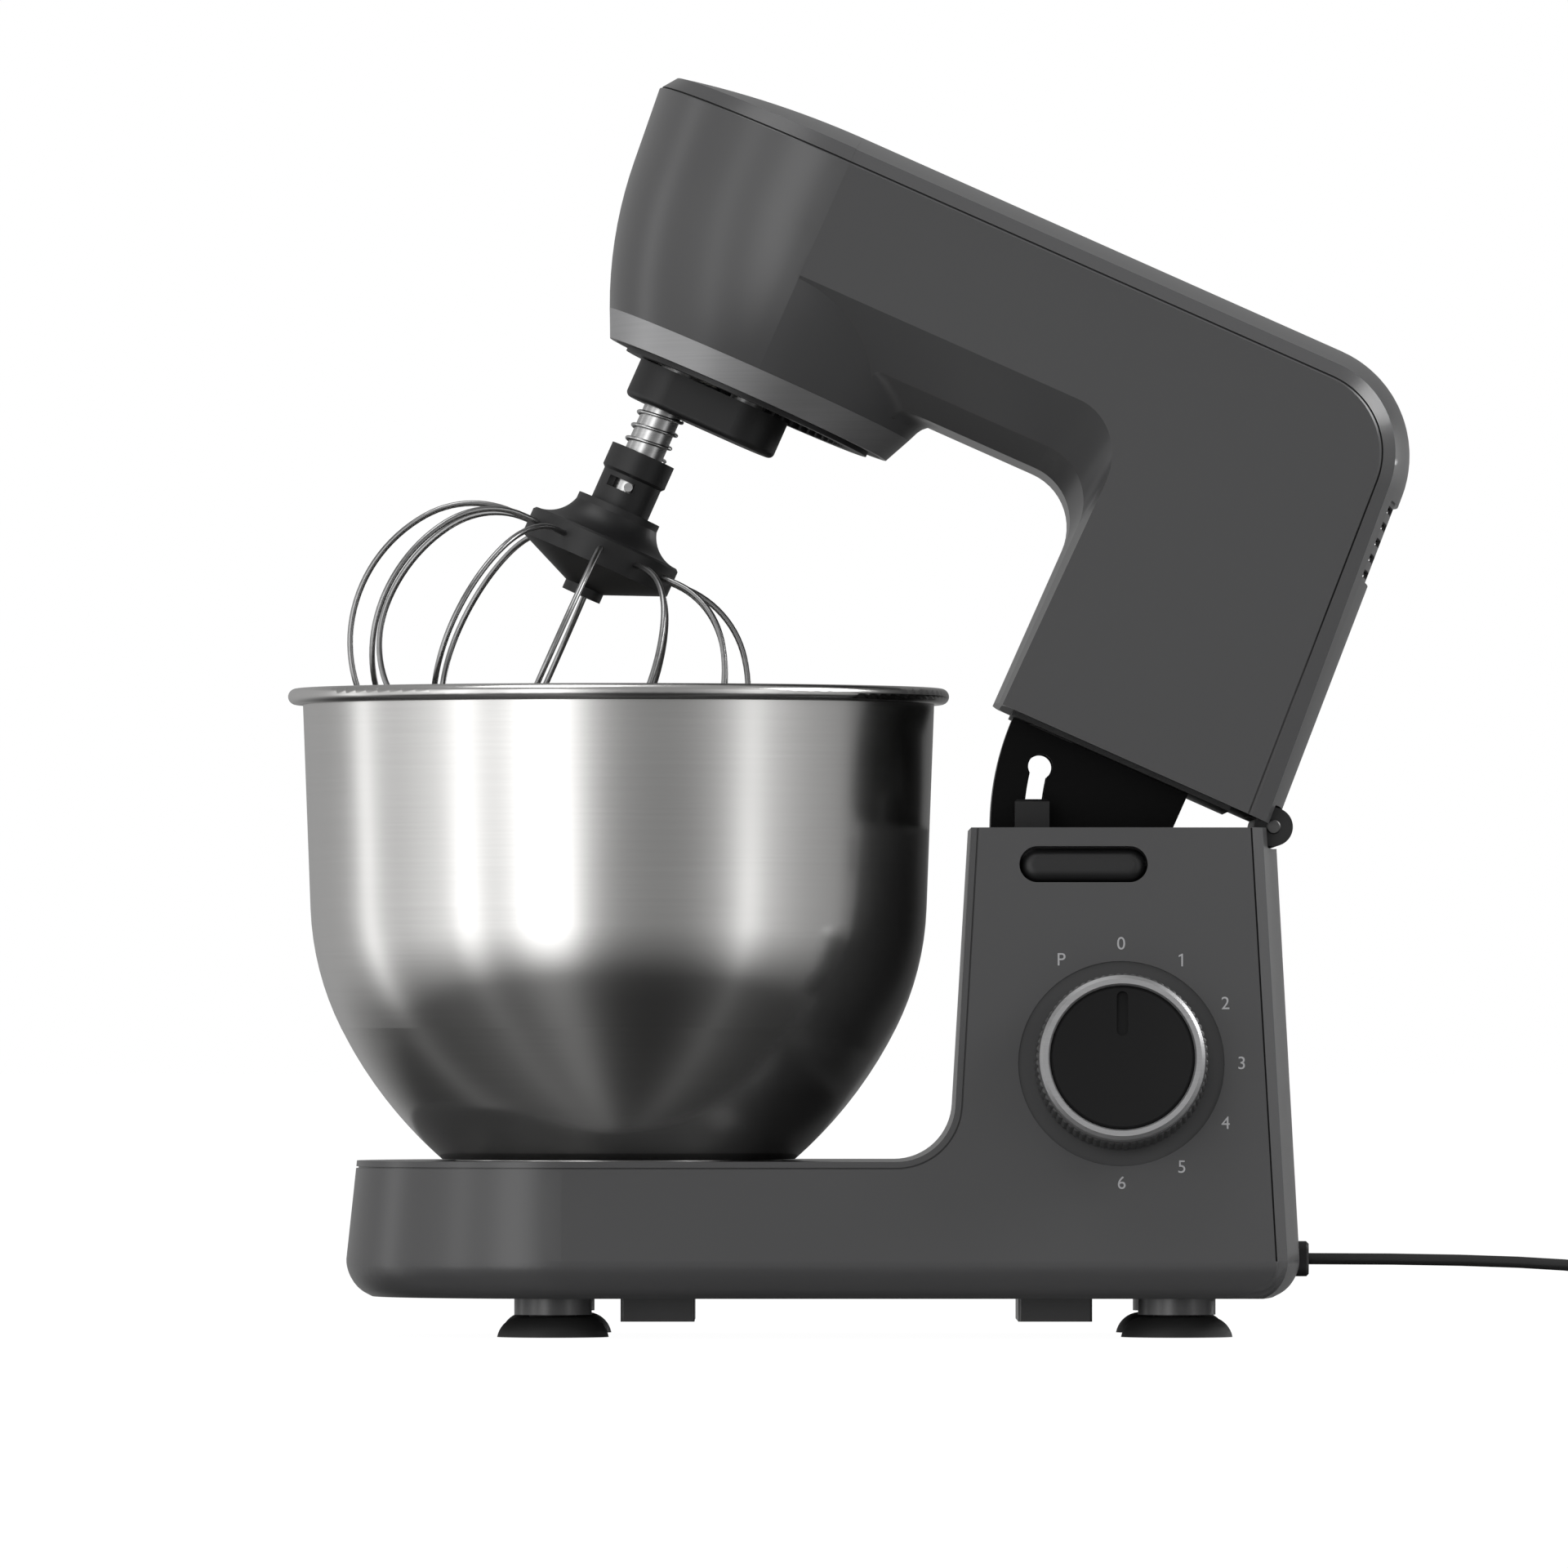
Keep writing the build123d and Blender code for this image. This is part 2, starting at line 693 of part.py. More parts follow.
LUG_TURNS = [index * 360 / LUG_COUNT for index in range(LUG_COUNT)]

with BuildPart() as bowl_seat:
    with BuildSketch(Plane.XY.offset(SEAT_FLOOR_Z - SEAT_FLOOR)):
        with Locations((BOWL_X, 0)):
            Circle(SEAT_ROOM_R)
    extrude(amount=DECK_Z - SEAT_FLOOR_Z + SEAT_FLOOR)
    with BuildSketch(Plane.XY.offset(SEAT_FLOOR_Z)):
        with Locations((BOWL_X, 0)):
            Circle(SEAT_IN_R)
    extrude(amount=DECK_Z - SEAT_FLOOR_Z, mode=Mode.SUBTRACT)
    for turn in LUG_TURNS:
        ledge = ring_sector(SEAT_ROOM_R, LEDGE_R, LEDGE_ANGLE, turn, DECK_Z - LEDGE_HEIGHT)
        extrude(ledge, amount=LEDGE_HEIGHT)
finish(bowl_seat.part, "bowl_seat")

with BuildPart() as bowl_foot:
    with BuildSketch(Plane.XY.offset(FOOT_LOW_Z)):
        with Locations((BOWL_X, 0)):
            Circle(FOOT_RING_R)
            Circle(FOOT_RING_R - FOOT_RING_WALL, mode=Mode.SUBTRACT)
    extrude(amount=FOOT_RING_HEIGHT)
    for turn in LUG_TURNS:
        lug = ring_sector(FOOT_RING_R + LUG_REACH, LUG_ROOT_R, LUG_ANGLE, turn, FOOT_LOW_Z)
        extrude(lug, amount=LUG_HEIGHT)
finish(bowl_foot.part, "bowl_foot")


def bowl_outline(inset):
    """Return the bowl's half section, drawn in by inset, standing on the bowl's axis."""
    with BuildSketch(Plane(origin=(BOWL_X, 0, 0), x_dir=(1, 0, 0), z_dir=(0, -1, 0))) as outline:
        with BuildLine() as skin:
            wall = Line((WALL_TOP_R, RIM_Z - BEAD_R), (WALL_LOW_R, WALL_LOW_Z))
            belly = TangentArc(wall @ 1, (BELLY_R, BELLY_Z), tangent=wall % 1)
            TangentArc(belly @ 1, (BOWL_FLOOR_R, BOWL_FLOOR_Z), tangent=belly % 1)
            if inset:
                offset(amount=inset, side=Side.RIGHT, closed=False, mode=Mode.REPLACE)
            ends = sorted((skin.line @ 0, skin.line @ 1), key=lambda end: end.Y)
            floor = BOWL_FLOOR_Z + inset
            Polyline(ends[0], (ends[0].X, floor), (0, floor), (0, ends[1].Y), ends[1])
        make_face()
    return outline.sketch


BOWL_AXIS = Axis((BOWL_X, 0, 0), (0, 0, 1))

with BuildPart() as bowl:
    revolve(bowl_outline(0), axis=BOWL_AXIS)
    with BuildSketch(Plane(origin=(BOWL_X, 0, 0), x_dir=(1, 0, 0), z_dir=(0, -1, 0))):
        with Locations((RIM_R - BEAD_R, RIM_Z - BEAD_R)):
            Circle(BEAD_R)
    revolve(axis=BOWL_AXIS)
    revolve(bowl_outline(BOWL_SHEET), axis=BOWL_AXIS, mode=Mode.SUBTRACT)
finish(bowl.part, "bowl")

# Knob and dial on the near panel
KNOB_AXIS = Axis(panel_plane(KNOB_X, KNOB_Z).origin, PANEL_OUT)
KNOB_SECTION = Plane(
    origin=panel_plane(KNOB_X, KNOB_Z).origin,
    x_dir=(1, 0, 0),
    z_dir=Vector(1, 0, 0).cross(Vector(PANEL_OUT)),
)

with BuildPart() as dial_ring:
    with BuildSketch(panel_plane(KNOB_X, KNOB_Z, -DIAL_SUNK)):
        Circle(DIAL_R)
        Circle(SPINDLE_R + LOOSE_FIT, mode=Mode.SUBTRACT)
    extrude(amount=DIAL_SUNK / 2)
finish(dial_ring.part, "dial_ring")

with BuildPart() as knob_ring:
    with BuildSketch(KNOB_SECTION):
        with BuildLine():
            Polyline(
                (KNOB_CAP_R, KNOB_GAP),
                (KNOB_R + KNOB_FLARE, KNOB_GAP),
                (KNOB_R, KNOB_HEIGHT - RING_EDGE),
                (KNOB_R - RING_EDGE, KNOB_HEIGHT),
                (KNOB_CAP_R + RING_INNER_EDGE, KNOB_HEIGHT),
                (KNOB_CAP_R, KNOB_HEIGHT - RING_EDGE),
                close=True,
            )
        make_face()
    revolve(axis=KNOB_AXIS)
finish(knob_ring.part, "knob_ring")

CAP_TOP = KNOB_HEIGHT - CAP_SUNK

with BuildPart() as knob_cap:
    with BuildSketch(KNOB_SECTION):
        with BuildLine():
            Polyline(
                (0, CAP_TOP - KNOB_DISH),
                (0, KNOB_GAP),
                (KNOB_CAP_R, KNOB_GAP),
                (KNOB_CAP_R, CAP_TOP - CAP_EDGE),
                (KNOB_CAP_R - CAP_EDGE, CAP_TOP),
            )
            ThreePointArc(
                (KNOB_CAP_R - CAP_EDGE, CAP_TOP),
                ((KNOB_CAP_R - CAP_EDGE) / 2, CAP_TOP - KNOB_DISH * 3 / 4),
                (0, CAP_TOP - KNOB_DISH),
            )
        make_face()
    revolve(axis=KNOB_AXIS)
    with BuildSketch(panel_plane(KNOB_X, KNOB_Z, KNOB_HEIGHT)):
        with Locations((0, KNOB_CAP_R - MARK_INSET - MARK_LENGTH / 2)):
            SlotOverall(MARK_LENGTH, MARK_WIDTH, rotation=90)
    extrude(amount=-CAP_SUNK - KNOB_DISH - MARK_DEPTH, mode=Mode.SUBTRACT)
    with BuildSketch(panel_plane(KNOB_X, KNOB_Z, KNOB_GAP)):
        Circle(SPINDLE_R)
    extrude(amount=KNOB_HEIGHT / 2, mode=Mode.SUBTRACT)
finish(knob_cap.part, "knob_cap")

SWITCH_FACE = -SHELL_WALL - SWITCH_GAP

with BuildPart() as knob_spindle:
    with BuildSketch(panel_plane(KNOB_X, KNOB_Z, KNOB_GAP + KNOB_HEIGHT / 2)):
        Circle(SPINDLE_R)
    extrude(amount=SWITCH_FACE - SWITCH_DEPTH / 2 - KNOB_GAP - KNOB_HEIGHT / 2)
finish(knob_spindle.part, "knob_spindle")

with BuildPart() as speed_switch:
    with BuildSketch(panel_plane(KNOB_X, KNOB_Z, SWITCH_FACE)):
        RectangleRounded(SWITCH_SIZE, SWITCH_SIZE, SWITCH_ROUND)
        Circle(SPINDLE_R + RUN_FIT, mode=Mode.SUBTRACT)
    extrude(amount=-SWITCH_DEPTH)
finish(speed_switch.part, "speed_switch")

with BuildPart() as control_board:
    with BuildSketch(panel_plane(KNOB_X, KNOB_Z, SWITCH_FACE - SWITCH_DEPTH)):
        Rectangle(BOARD_LENGTH, BOARD_HEIGHT)
    extrude(amount=-BOARD_PLATE)
    with BuildSketch(panel_plane(KNOB_X, KNOB_Z, SWITCH_FACE - SWITCH_DEPTH - BOARD_PLATE)):
        with GridLocations(CHIP_SPACING, CHIP_ROW, 2, 2):
            Rectangle(CHIP_LENGTH, CHIP_HEIGHT)
    extrude(amount=-CHIP_DEPTH)
finish(control_board.part, "control_board")

# Release button, lock pin and spring
LOCK_X = HINGE_X - LOCK_R * cos(radians(LOCK_ANGLE))
LOCK_Z = HINGE_Z - LOCK_R * sin(radians(LOCK_ANGLE))
BUTTON_FACE = panel_plane(BUTTON_X, BUTTON_Z, -BUTTON_SUNK)

with BuildPart() as release_button:
    with BuildSketch(BUTTON_FACE):
        SlotOverall(BUTTON_LENGTH, BUTTON_HEIGHT)
    extrude(amount=-BUTTON_DEPTH)
    fillet(release_button.faces().sort_by(Axis(BUTTON_FACE.origin, PANEL_OUT))[-1].edges(), BUTTON_ROUND)
    with BuildSketch(BUTTON_FACE.offset(-BUTTON_DEPTH)):
        SlotOverall(BUTTON_LENGTH + 2 * BUTTON_LIP, BUTTON_HEIGHT + 2 * BUTTON_LIP)
    extrude(amount=-BUTTON_FLANGE)
finish(release_button.part, "release_button")

with BuildPart() as lock_pin:
    with BuildSketch(Plane.XZ.offset(COLUMN_HALF)):
        with Locations((LOCK_X, LOCK_Z)):
            Circle(LOCK_PIN_R)
    extrude(amount=-COLUMN_HALF - TONGUE_HALF - LOCK_TIP)
    with BuildSketch(Plane.XZ.offset(TONGUE_HALF + BUTTON_TRAVEL + LOCK_CLEAR)):
        with Locations((LOCK_X, LOCK_Z)):
            Circle(LOCK_COLLAR_R)
    extrude(amount=LOCK_COLLAR_LENGTH)
    with BuildSketch(BUTTON_FACE.offset(-BUTTON_DEPTH - BUTTON_FLANGE)):
        Rectangle(REACH, REACH)
    extrude(amount=COLUMN_HALF, mode=Mode.SUBTRACT)
finish(lock_pin.part, "lock_pin")

GUIDE_Y = TONGUE_HALF + BUTTON_TRAVEL + LOCK_CLEAR + LOCK_COLLAR_LENGTH + GUIDE_CLEAR

with BuildPart() as latch_guide:
    with BuildSketch(Plane.XZ.offset(GUIDE_Y)):
        with Locations((LOCK_X, LOCK_Z)):
            Rectangle(GUIDE_LENGTH, GUIDE_HEIGHT)
    extrude(amount=GUIDE_PLATE)
    with BuildSketch(Plane.XZ.offset(GUIDE_Y)):
        with Locations((BUTTON_X - BUTTON_LENGTH / 2 - BUTTON_LIP - GUIDE_CLEAR, LOCK_Z)):
            Rectangle(GUIDE_PLATE, GUIDE_HEIGHT, align=(Align.MAX, Align.CENTER))
    extrude(amount=BASE_HALF - GUIDE_Y)
    add(base_cavity, mode=Mode.INTERSECT)
    with BuildSketch(Plane.XZ):
        with Locations((LOCK_X, LOCK_Z)):
            Circle(LOCK_PIN_R + LOOSE_FIT)
    extrude(amount=REACH, mode=Mode.SUBTRACT)
finish(latch_guide.part, "latch_guide")

with BuildPart() as interlock_post:
    with BuildSketch(Plane.XY.offset(POST_TOP_Z)):
        with Locations((POST_X, POST_Y)):
            Rectangle(POST_LENGTH, POST_WIDTH)
    extrude(amount=POST_FOOT_Z - POST_TOP_Z)
    chamfer(interlock_post.faces().sort_by(Axis.Z)[-1].edges(), POST_CHAMFER)
    with BuildSketch(Plane.XY.offset(POST_FOOT_Z)):
        with Locations((POST_X, POST_Y)):
            Rectangle(POST_X - THROAT_FOOT_X, POST_WIDTH, align=(Align.MAX, Align.CENTER))
    extrude(amount=POST_ARM)
    add(deck_lining, mode=Mode.SUBTRACT)
finish(interlock_post.part, "interlock_post")


# Head form
def head_half(z):
    """Half width of the head's flanks at height z."""
    return HEAD_HALF - (PANEL_TOP_Z - z) * FLANK_SLOPE


def spine_chamfer(inset):
    """Length of the spine's chamfer on a form drawn in by inset, so that the wall stays even."""
    return SPINE_CHAMFER - inset * (2 - sqrt(2))


CORNER_Z = CREST_Z - CORNER_R
LEAN = radians(BACK_LEAN)
BACK_DOWN = HEAD.x_dir * sin(LEAN) - HEAD.z_dir * cos(LEAN)
BACK_PLANE = Plane(origin=head_point(CORNER_X, 0, CORNER_Z), x_dir=(0, 1, 0), z_dir=BACK_DOWN)
CROWN_HALF = HEAD_HALF + CROWN_SPARE
HEAD_CEILING_Z = CREST_Z + CROWN_SPARE


def crown_section(plane, low, inset):
    """Return a section under the crown, from low up to the crest, drawn in by inset."""
    rise = CORNER_R - inset
    drop = CROWN_R - sqrt(CROWN_R**2 - CROWN_HALF**2)
    with BuildSketch(plane) as section:
        with BuildLine():
            Polyline(
                (-CROWN_HALF, rise - drop), (-CROWN_HALF, low), (CROWN_HALF, low), (CROWN_HALF, rise - drop)
            )
            ThreePointArc((CROWN_HALF, rise - drop), (0, rise), (-CROWN_HALF, rise - drop))
        make_face()
    return section.sketch


def neck_outline(y, under, front, inset):
    """Return the space under the arm and ahead of the neck, in the side view at y."""
    with BuildSketch(head_side(y)) as outline:
        with BuildLine():
            Polyline(
                (PLANET_X - REACH, -REACH),
                (front + inset, -REACH),
                (front + inset, under + inset),
                (PLANET_X - REACH, under + inset),
                close=True,
            )
        make_face()
        fillet(outline.vertices().group_by(Axis.Y)[-1].sort_by(Axis.X)[-1], NECK_R + inset)
    return outline.sketch


def arm_form(inset, floor):
    """Return the arm and neck behind the planetary axis, drawn in by inset, down to floor."""
    with BuildPart() as form:
        extrude(
            crown_section(head_across(PLANET_X, CORNER_Z), floor - CORNER_Z, inset),
            amount=CORNER_X - PLANET_X,
        )
        revolve(
            crown_section(head_across(CORNER_X, CORNER_Z), 0, inset),
            axis=Axis(head_point(CORNER_X, 0, CORNER_Z), (0, 1, 0)),
            revolution_arc=90 - BACK_LEAN,
        )
        extrude(crown_section(BACK_PLANE, -CROWN_SPARE, inset), amount=2 * CORNER_Z)
        with BuildSketch(head_across(PLANET_X)):
            with BuildLine():
                low, high = head_half(floor) - inset, head_half(HEAD_CEILING_Z) - inset
                Polyline(
                    (-low, floor), (low, floor), (high, HEAD_CEILING_Z), (-high, HEAD_CEILING_Z), close=True
                )
            make_face()
        extrude(amount=REACH, mode=Mode.INTERSECT)
        spine = []
        for edge in form.edges():
            middle = HEAD.to_local_coords(edge.center())
            if abs(middle.Y) > COLUMN_HALF / 2 and middle.Z > floor + 1 and middle.X > PLANET_X + 1:
                spine.append(edge)
        chamfer(spine, spine_chamfer(inset))
        edge_half = head_half(ARM_EDGE_Z)
        inner = [neck_outline(side * SCOOP_HALF, ARM_UNDER_Z, NECK_FRONT_X, inset) for side in (-1, 1)]
        ridge = [neck_outline(side * RIDGE_HALF, RIDGE_Z, RIDGE_X, inset) for side in (-1, 1)]
        outer = [neck_outline(side * edge_half, ARM_EDGE_Z, NECK_EDGE_X, inset) for side in (-1, 1)]
        loft(inner, ruled=True, mode=Mode.SUBTRACT)
        for index in (0, 1):
            loft([inner[index], ridge[index], outer[index]], ruled=True, mode=Mode.SUBTRACT)
            extrude(outer[index], amount=(1 - 2 * index) * REACH / 4, mode=Mode.SUBTRACT)
    return form.part


def drum_section(inset, low_z, high_z=None):
    """Return the drum's half section beside the planetary axis, drawn in by inset."""
    bend_r = head_half(FLANK_BEND_Z) - inset
    with BuildSketch(head_across(PLANET_X)) as section:
        with BuildLine():
            foot = (BAND_TOP_R - inset, BAND_TOP_Z)
            bend = (bend_r, FLANK_BEND_Z)
            side_dir = Vector(-FLANK_SLOPE, -1).normalized()
            TangentArc(bend, foot, tangent=side_dir)
            if high_z is None:
                edge_z = CREST_Z - inset - head_half(PANEL_TOP_Z) ** 2 / (2 * CROWN_R)
                edge_r = head_half(edge_z) - inset
                cut = spine_chamfer(inset)
                dome_slope = edge_r / CROWN_R
                flank_end = (edge_r - cut * FLANK_SLOPE, edge_z - cut)
                dome_end = (edge_r - cut * cos(dome_slope), edge_z + cut * sin(dome_slope))
                half_r = dome_end[0] / 2
                rise = CREST_Z - inset - dome_end[1]
                Polyline(bend, flank_end, dome_end)
                ThreePointArc(dome_end, (half_r, dome_end[1] + 0.75 * rise), (0, CREST_Z - inset))
                Polyline((0, CREST_Z - inset), (0, low_z), (foot[0], low_z))
            else:
                Polyline(bend, (0, FLANK_BEND_Z), (0, low_z), (foot[0], low_z))
            if low_z < BAND_TOP_Z:
                Line((foot[0], low_z), foot)
        make_face()
        if high_z is not None:
            with Locations((0, high_z)):
                Rectangle(REACH, REACH, align=(Align.CENTER, Align.MIN), mode=Mode.SUBTRACT)
    return section.sketch


def head_form(inset, floor, drum_low):
    """Return the whole head's form, drawn in by inset."""
    with BuildPart() as form:
        add(arm_form(inset, floor))
        revolve(drum_section(inset, drum_low), axis=head_axis(PLANET_X), revolution_arc=180)
        revolve(
            drum_section(inset, drum_low, DRUM_JOIN_Z),
            axis=Axis(head_point(PLANET_X, 0, 0), -HEAD.z_dir),
            revolution_arc=180,
        )
    return form.part


def near_drum(point):
    """Tell if a point of the head's frame is behind the drum's axis, within the drum's width."""
    return point.X > PLANET_X and hypot(point.X - PLANET_X, point.Y) < HEAD_HALF


def under_drum(form):
    """Return the edges where the arm's underside meets the back of the drum."""
    edges = []
    for edge in form.edges():
        points = [HEAD.to_local_coords(edge.position_at(spot)) for spot in (0, 0.5, 1)]
        middle = points[1]
        low = (BAND_TOP_Z + ARM_UNDER_Z) / 2 < middle.Z < ARM_EDGE_Z
        if low and abs(middle.Y) < RIDGE_HALF and all(near_drum(point) for point in points):
            edges.append(edge)
    return edges


with BuildPart() as head_skin:
    add(head_form(0, HEAD_FLOOR_Z, BAND_TOP_Z))
    fillet(under_drum(head_skin), DRUM_FILLET)
head_outer = head_skin.part
head_grooved = head_form(GROOVE_DEPTH, HEAD_FLOOR_Z, BAND_TOP_Z)
head_cavity = head_form(HEAD_WALL, HEAD_FLOOR_Z - HEAD_WALL, BAND_TOP_Z - HEAD_WALL)


def past_seam(gap):
    """Return the space over and behind the spine's seam, moved out by gap."""
    seam_r = CORNER_R - SPINE_SEAM_BACK + gap
    turn = Vector(CORNER_X, PANEL_TOP_Z + gap)
    end = Vector(CORNER_X + seam_r * cos(LEAN), CORNER_Z + seam_r * sin(LEAN))
    down = Vector(sin(LEAN), -cos(LEAN))
    low = end + down * REACH
    with BuildPart() as space:
        with BuildSketch(head_side()):
            with BuildLine():
                Line((PLANET_X - REACH, turn.Y), turn)
                biarc(turn, Vector(1, 0), end, down)
                Polyline(end, low, (REACH, low.Y), (REACH, REACH), (PLANET_X - REACH, REACH))
                Line((PLANET_X - REACH, REACH), (PLANET_X - REACH, turn.Y))
            make_face()
        extrude(amount=REACH, both=True)
    return space.part


spine_space = past_seam(0)

with BuildPart() as head_housing:
    add(head_outer)
    add(head_cavity, mode=Mode.SUBTRACT)
    add(spine_space, mode=Mode.SUBTRACT)
    add(barrel_room.part, mode=Mode.SUBTRACT)
finish(head_housing.part, "head_housing")

# Cover of the spine and the back, with the vents
BACK_OUT = HEAD.x_dir * cos(LEAN) + HEAD.z_dir * sin(LEAN)
BACK_TOP_Z = CORNER_Z + CORNER_R * sin(LEAN)
BACK_FACE = Plane(
    origin=head_point(CORNER_X + CORNER_R * cos(LEAN), 0, BACK_TOP_Z), x_dir=(0, 1, 0), z_dir=BACK_OUT
)
VENT_MIDDLE = (VENT_TOP_Z + VENT_LOW_Z) / 2 - BACK_TOP_Z
VENT_HEIGHT = VENT_TOP_Z - VENT_LOW_Z
VENT_PITCH = VENT_HEIGHT / VENT_COUNT
VENT_LENGTH = VENT_HALF - (VENT_PITCH + VENT_RIB) / 2

with BuildPart() as vent_recess:
    with BuildSketch(BACK_FACE):
        with Locations((0, VENT_MIDDLE)):
            RectangleRounded(2 * VENT_HALF, VENT_HEIGHT, VENT_SLOT)
    extrude(amount=VENT_REACH, both=True)
    extrude(crown_section(BACK_PLANE, -CORNER_R, VENT_DEPTH), amount=2 * CORNER_Z, mode=Mode.SUBTRACT)

with BuildPart() as head_cover:
    add(head_outer)
    add(head_cavity, mode=Mode.SUBTRACT)
    add(past_seam(GROOVE), mode=Mode.INTERSECT)
    add((head_grooved - head_cavity).intersect(spine_space))
    add(barrel_room.part, mode=Mode.SUBTRACT)
    add(vent_recess.part, mode=Mode.SUBTRACT)
    with BuildSketch(BACK_FACE):
        with Locations((0, VENT_MIDDLE)):
            with GridLocations(VENT_LENGTH + VENT_RIB, VENT_PITCH, 2, VENT_COUNT):
                SlotOverall(VENT_LENGTH, VENT_SLOT)
    extrude(amount=VENT_REACH, both=True, mode=Mode.SUBTRACT)
finish(head_cover.part, "head_cover")

# Hinge knuckle, floor, lock tongue and interlock switch of the head
with BuildPart() as hinge_knuckle:
    with BuildSketch(head_side()):
        Circle(BARREL_R)
        with Locations((-LEAF_IN, 0)):
            Rectangle(KNUCKLE_LEAF, LEAF_HEIGHT, align=(Align.MAX, Align.MIN))
        Circle(PIN_R + RUN_FIT, mode=Mode.SUBTRACT)
    extrude(amount=HEAD_KNUCKLE_HALF, both=True)
finish(hinge_knuckle.part, "hinge_knuckle")

FLOOR_TOP_Z = HEAD_FLOOR_Z + FLOOR_PLATE
POST_HEAD_X = POST_X - HINGE_X

with BuildPart() as head_floor:
    with BuildSketch(head_level(HEAD_FLOOR_Z)):
        Rectangle(REACH, REACH)
    extrude(amount=FLOOR_PLATE)
    add(head_cavity, mode=Mode.INTERSECT)
    with BuildSketch(head_level(HEAD_FLOOR_Z)):
        with Locations((PAD_FRONT_X, 0)):
            Rectangle(PAD_REAR_X - PAD_FRONT_X, 2 * PAD_HALF, align=(Align.MIN, Align.CENTER))
    extrude(amount=-FLOOR_PAD)
    with BuildSketch(head_level(HEAD_FLOOR_Z - FLOOR_PAD)):
        with Locations((POST_HEAD_X, POST_Y)):
            Rectangle(POST_LENGTH + 2 * POST_CLEAR, POST_WIDTH + 2 * POST_CLEAR)
    extrude(amount=FLOOR_PAD + FLOOR_PLATE, mode=Mode.SUBTRACT)
    add(barrel_room.part, mode=Mode.SUBTRACT)
    add(hinge_knuckle.part, mode=Mode.SUBTRACT)
finish(head_floor.part, "head_floor")


def below_hinge(radius, angle):
    """Return a point of the side view, at a radius ahead of the hinge and an angle below it."""
    return Vector(-radius * cos(radians(angle)), -radius * sin(radians(angle)))


def tongue_outline(front_r):
    """Return the tongue's outline in the side view, with its front at a radius from the hinge."""
    top = HEAD_FLOOR_Z - FLOOR_PAD
    start_angle = degrees(asin(-top / front_r))
    end = below_hinge(front_r, TONGUE_END_ANGLE)
    heel = Vector(TONGUE_REAR_X, TONGUE_REAR_X * tan(radians(TONGUE_END_ANGLE)))
    with BuildSketch(head_side()) as outline:
        with BuildLine():
            start = below_hinge(front_r, start_angle)
            ThreePointArc(start, below_hinge(front_r, (start_angle + TONGUE_END_ANGLE) / 2), end)
            Polyline(end, heel, (TONGUE_REAR_X, top), start)
        make_face()
    return outline.sketch


with BuildPart() as lock_tongue:
    extrude(tongue_outline(TONGUE_R), amount=TONGUE_HALF, both=True)
    hollow = tongue_outline(TONGUE_R - TONGUE_PLATE)
    extrude(hollow, amount=TONGUE_HALF - TONGUE_PLATE, both=True, mode=Mode.SUBTRACT)
    with BuildSketch(head_side()):
        for angle in (LOCK_ANGLE, LOCK_ANGLE + OPEN_ANGLE):
            with Locations(below_hinge(LOCK_R, angle)):
                Circle(LOCK_HOLE_R)
        with BuildLine():
            slot_ends = []
            for radius in (LOCK_R - LOCK_SLOT / 2, LOCK_R + LOCK_SLOT / 2):
                first = below_hinge(radius, LOCK_ANGLE)
                last = below_hinge(radius, LOCK_ANGLE + OPEN_ANGLE)
                ThreePointArc(first, below_hinge(radius, LOCK_ANGLE + OPEN_ANGLE / 2), last)
                slot_ends.append((first, last))
            Line(slot_ends[0][0], slot_ends[1][0])
            Line(slot_ends[0][1], slot_ends[1][1])
        make_face()
    extrude(amount=REACH, both=True, mode=Mode.SUBTRACT)
finish(lock_tongue.part, "lock_tongue")

with BuildPart() as interlock_switch:
    with BuildSketch(head_level(FLOOR_TOP_Z)):
        with Locations((POST_HEAD_X + POST_LENGTH / 2 + POST_CLEAR, POST_Y)):
            Rectangle(SWITCH_BOX_LENGTH, POST_WIDTH + POST_CLEAR, align=(Align.MIN, Align.CENTER))
    extrude(amount=SWITCH_BOX_HEIGHT)
    with BuildSketch(head_level(POST_TOP_Z - HINGE_Z + LOOSE_FIT)):
        with Locations((POST_HEAD_X - POST_LENGTH / 2, POST_Y)):
            Rectangle(POST_LENGTH + 2 * POST_CLEAR, POST_WIDTH / 2, align=(Align.MIN, Align.CENTER))
    extrude(amount=SWITCH_LEVER)
finish(interlock_switch.part, "interlock_switch")

# Trim band, underside plate and the planetary drive's fixed pieces
BAND_SLOPE = (BAND_TOP_R - BAND_LOW_R) / (BAND_TOP_Z - BAND_LOW_Z)
PLANET_AXIS = head_axis(PLANET_X)
BEATER_X = PLANET_X - BEATER_OFFSET
LAYSHAFT_X = PLANET_X + DRIVE_MODULE * (DRIVE_TEETH + PINION_TEETH) / 2
CASE_TOP_Z = BAND_TOP_Z + CASE_PLATE

with BuildPart() as trim_band:
    with BuildSketch(head_across(PLANET_X)):
        with BuildLine():
            Polyline(
                (BAND_TOP_R, BAND_TOP_Z),
                (BAND_LOW_R, BAND_LOW_Z),
                (BAND_LOW_R - BAND_WALL, BAND_LOW_Z),
                (BAND_TOP_R - BAND_WALL, BAND_TOP_Z),
                close=True,
            )
        make_face()
    revolve(axis=PLANET_AXIS)
finish(trim_band.part, "trim_band")

